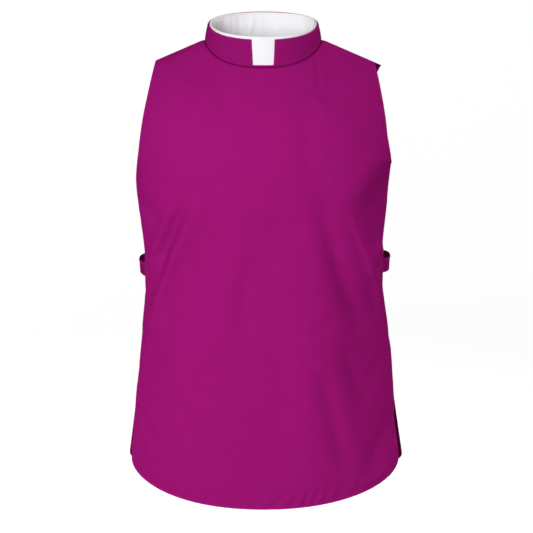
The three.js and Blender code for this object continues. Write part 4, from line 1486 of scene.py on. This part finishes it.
class MakeSlipInCollar(bpy.types.Operator):
    """The white collar inside the neckband"""

    bl_idname = "shirtfront.slip_in_collar"
    bl_label = "Slip-in collar"

    def execute(self, context):
        collar, look = settings(context, "collar", "look")
        piece = build_insert("slip_in_collar", collar)
        finish_piece(piece, white_cloth(look), "white_collar", "collar_insert")
        sewing = sew("slip_in_stitching", insert_seams(collar, 0.08 * MM), 2.2 * MM, 0.26 * MM,
                     thread_material("white thread", tuple(look.white)), "white_collar")
        return {"FINISHED"}


class MakeSideStraps(bpy.types.Operator):
    """The straps that join the front to the back at the waist"""

    bl_idname = "shirtfront.side_straps"
    bl_label = "Side straps"

    def execute(self, context):
        straps, cloth, look = settings(context, "straps", "cloth", "look")
        material = strap_cloth(look)
        for node, strap in STRAPS.items():
            name = node.replace("side_", "")
            piece = build_strap(name + "_cloth", strap, straps)
            finish_piece(piece, material, "strap_cloth", node)
            rows = strap_seams(strap, straps, STITCH_LIFT)
            sewing = sew(name + "_stitching", rows, cloth.stitch, cloth.thread,
                         purple_thread(look), "strap_cloth")
        return {"FINISHED"}


class MakeNeckButton(bpy.types.Operator):
    """The button that closes the band behind, with its thread and its buttonhole"""

    bl_idname = "shirtfront.neck_button"
    bl_label = "Neck button"

    def execute(self, context):
        collar, straps, look = settings(context, "collar", "straps", "look")
        centre = button_centre(collar, straps)
        piece = build_button("collar_button", centre)
        finish_piece(piece, button_material("button plastic", tuple(look.button)), "button_plastic",
                     "neck_button")
        rows = button_thread_lines(centre)
        pitch = min(walk(line, 0)[-1] for line, _ in rows)
        sew("button_thread", rows, pitch, 0.45 * MM, purple_thread(look), "purple_cloth", 1.0)
        line, out = buttonhole_line(collar, 0.12 * MM)
        pitch = walk(line, 0)[-1] / (len(line) - 1)
        sew("buttonhole_stitching", [(line, out)], pitch, 0.34 * MM, purple_thread(look),
            "purple_cloth", 0.98)
        return {"FINISHED"}


class MakeStudio(bpy.types.Operator):
    """The floor, the lights and the camera"""

    bl_idname = "shirtfront.studio"
    bl_label = "Studio"

    def execute(self, context):
        scene = context.scene
        studio = scene.shirtfront_studio
        floor = build_floor(studio)

        world = bpy.data.worlds.new("studio room")
        scene.world = world
        world.use_nodes = True
        background = world.node_tree.nodes["Background"]
        background.inputs["Color"].default_value = (1, 1, 1, 1)
        background.inputs["Strength"].default_value = studio.around

        aim = Vector((studio.aim_x, 0, studio.aim_z))
        for name, power, size, place in (
            ("key light", studio.key, 1.4, (-0.98, -2.95, 0.35)),
            ("top light", studio.top, 1.0, (0.9, -0.9, 2.2)),
            ("back light right", studio.back * 0.16, 1.4, (-2.3, 2.1, 0.0)),
            ("back light left", studio.back, 1.2, (2.5, 1.9, 1.0)),
        ):
            lamp = bpy.data.lights.new(name, "AREA")
            lamp.shape, lamp.size, lamp.energy = "SQUARE", size, power
            holder = bpy.data.objects.new(name, lamp)
            holder.location = place
            holder.rotation_euler = (aim - Vector(place)).to_track_quat("-Z", "Y").to_euler()
            scene.collection.objects.link(holder)

        lens = bpy.data.cameras.new("camera")
        lens.sensor_width = SENSOR
        lens.lens = SENSOR * studio.distance / studio.frame_width
        lens.clip_start, lens.clip_end = 0.05, 100
        camera = bpy.data.objects.new("camera", lens)
        back = Vector((0, -math.cos(studio.pitch), math.sin(studio.pitch)))
        camera.location = aim + back * studio.distance
        camera.rotation_euler = (math.pi / 2 - studio.pitch, 0, 0)
        scene.collection.objects.link(camera)
        scene.camera = camera
        scene.view_settings.view_transform = "Standard"
        return {"FINISHED"}


class ShirtfrontPanel(bpy.types.Panel):
    """The shirtfront's pieces and their sizes"""

    bl_idname = "VIEW3D_PT_shirtfront"
    bl_label = "Clergy shirtfront"
    bl_space_type = "VIEW_3D"
    bl_region_type = "UI"
    bl_category = "Shirtfront"

    def draw(self, context):
        for piece in PIECES:
            self.layout.operator(piece.bl_idname)
        for name, group in GROUPS.items():
            box = self.layout.box()
            box.label(text=group.__doc__)
            for key in group.__annotations__:
                box.prop(getattr(context.scene, name), key)


GROUPS = {
    "shirtfront_cloth": ClothSizes,
    "shirtfront_collar": CollarSizes,
    "shirtfront_straps": StrapSizes,
    "shirtfront_look": ClothLook,
    "shirtfront_studio": StudioSizes,
}
PIECES = (
    MakeFrontPanel, MakeBackPanel, MakeNeckband, MakeSlipInCollar, MakeSideStraps, MakeNeckButton,
    MakeStudio,
)


def register():
    """Registers the sizes, the operators and the panel."""
    for name, group in GROUPS.items():
        bpy.utils.register_class(group)
        setattr(bpy.types.Scene, name, PointerProperty(type=group))
    for part in (*PIECES, ShirtfrontPanel):
        bpy.utils.register_class(part)


def unregister():
    """Takes them away again."""
    for part in (ShirtfrontPanel, *reversed(PIECES)):
        bpy.utils.unregister_class(part)
    for name, group in GROUPS.items():
        delattr(bpy.types.Scene, name)
        bpy.utils.unregister_class(group)


def main():
    """Makes every piece and the studio."""
    register()
    bpy.ops.shirtfront.studio()
    bpy.ops.shirtfront.front_panel()
    bpy.ops.shirtfront.back_panel()
    bpy.ops.shirtfront.neckband()
    bpy.ops.shirtfront.slip_in_collar()
    bpy.ops.shirtfront.side_straps()
    bpy.ops.shirtfront.neck_button()


if __name__ == "__main__":
    main()
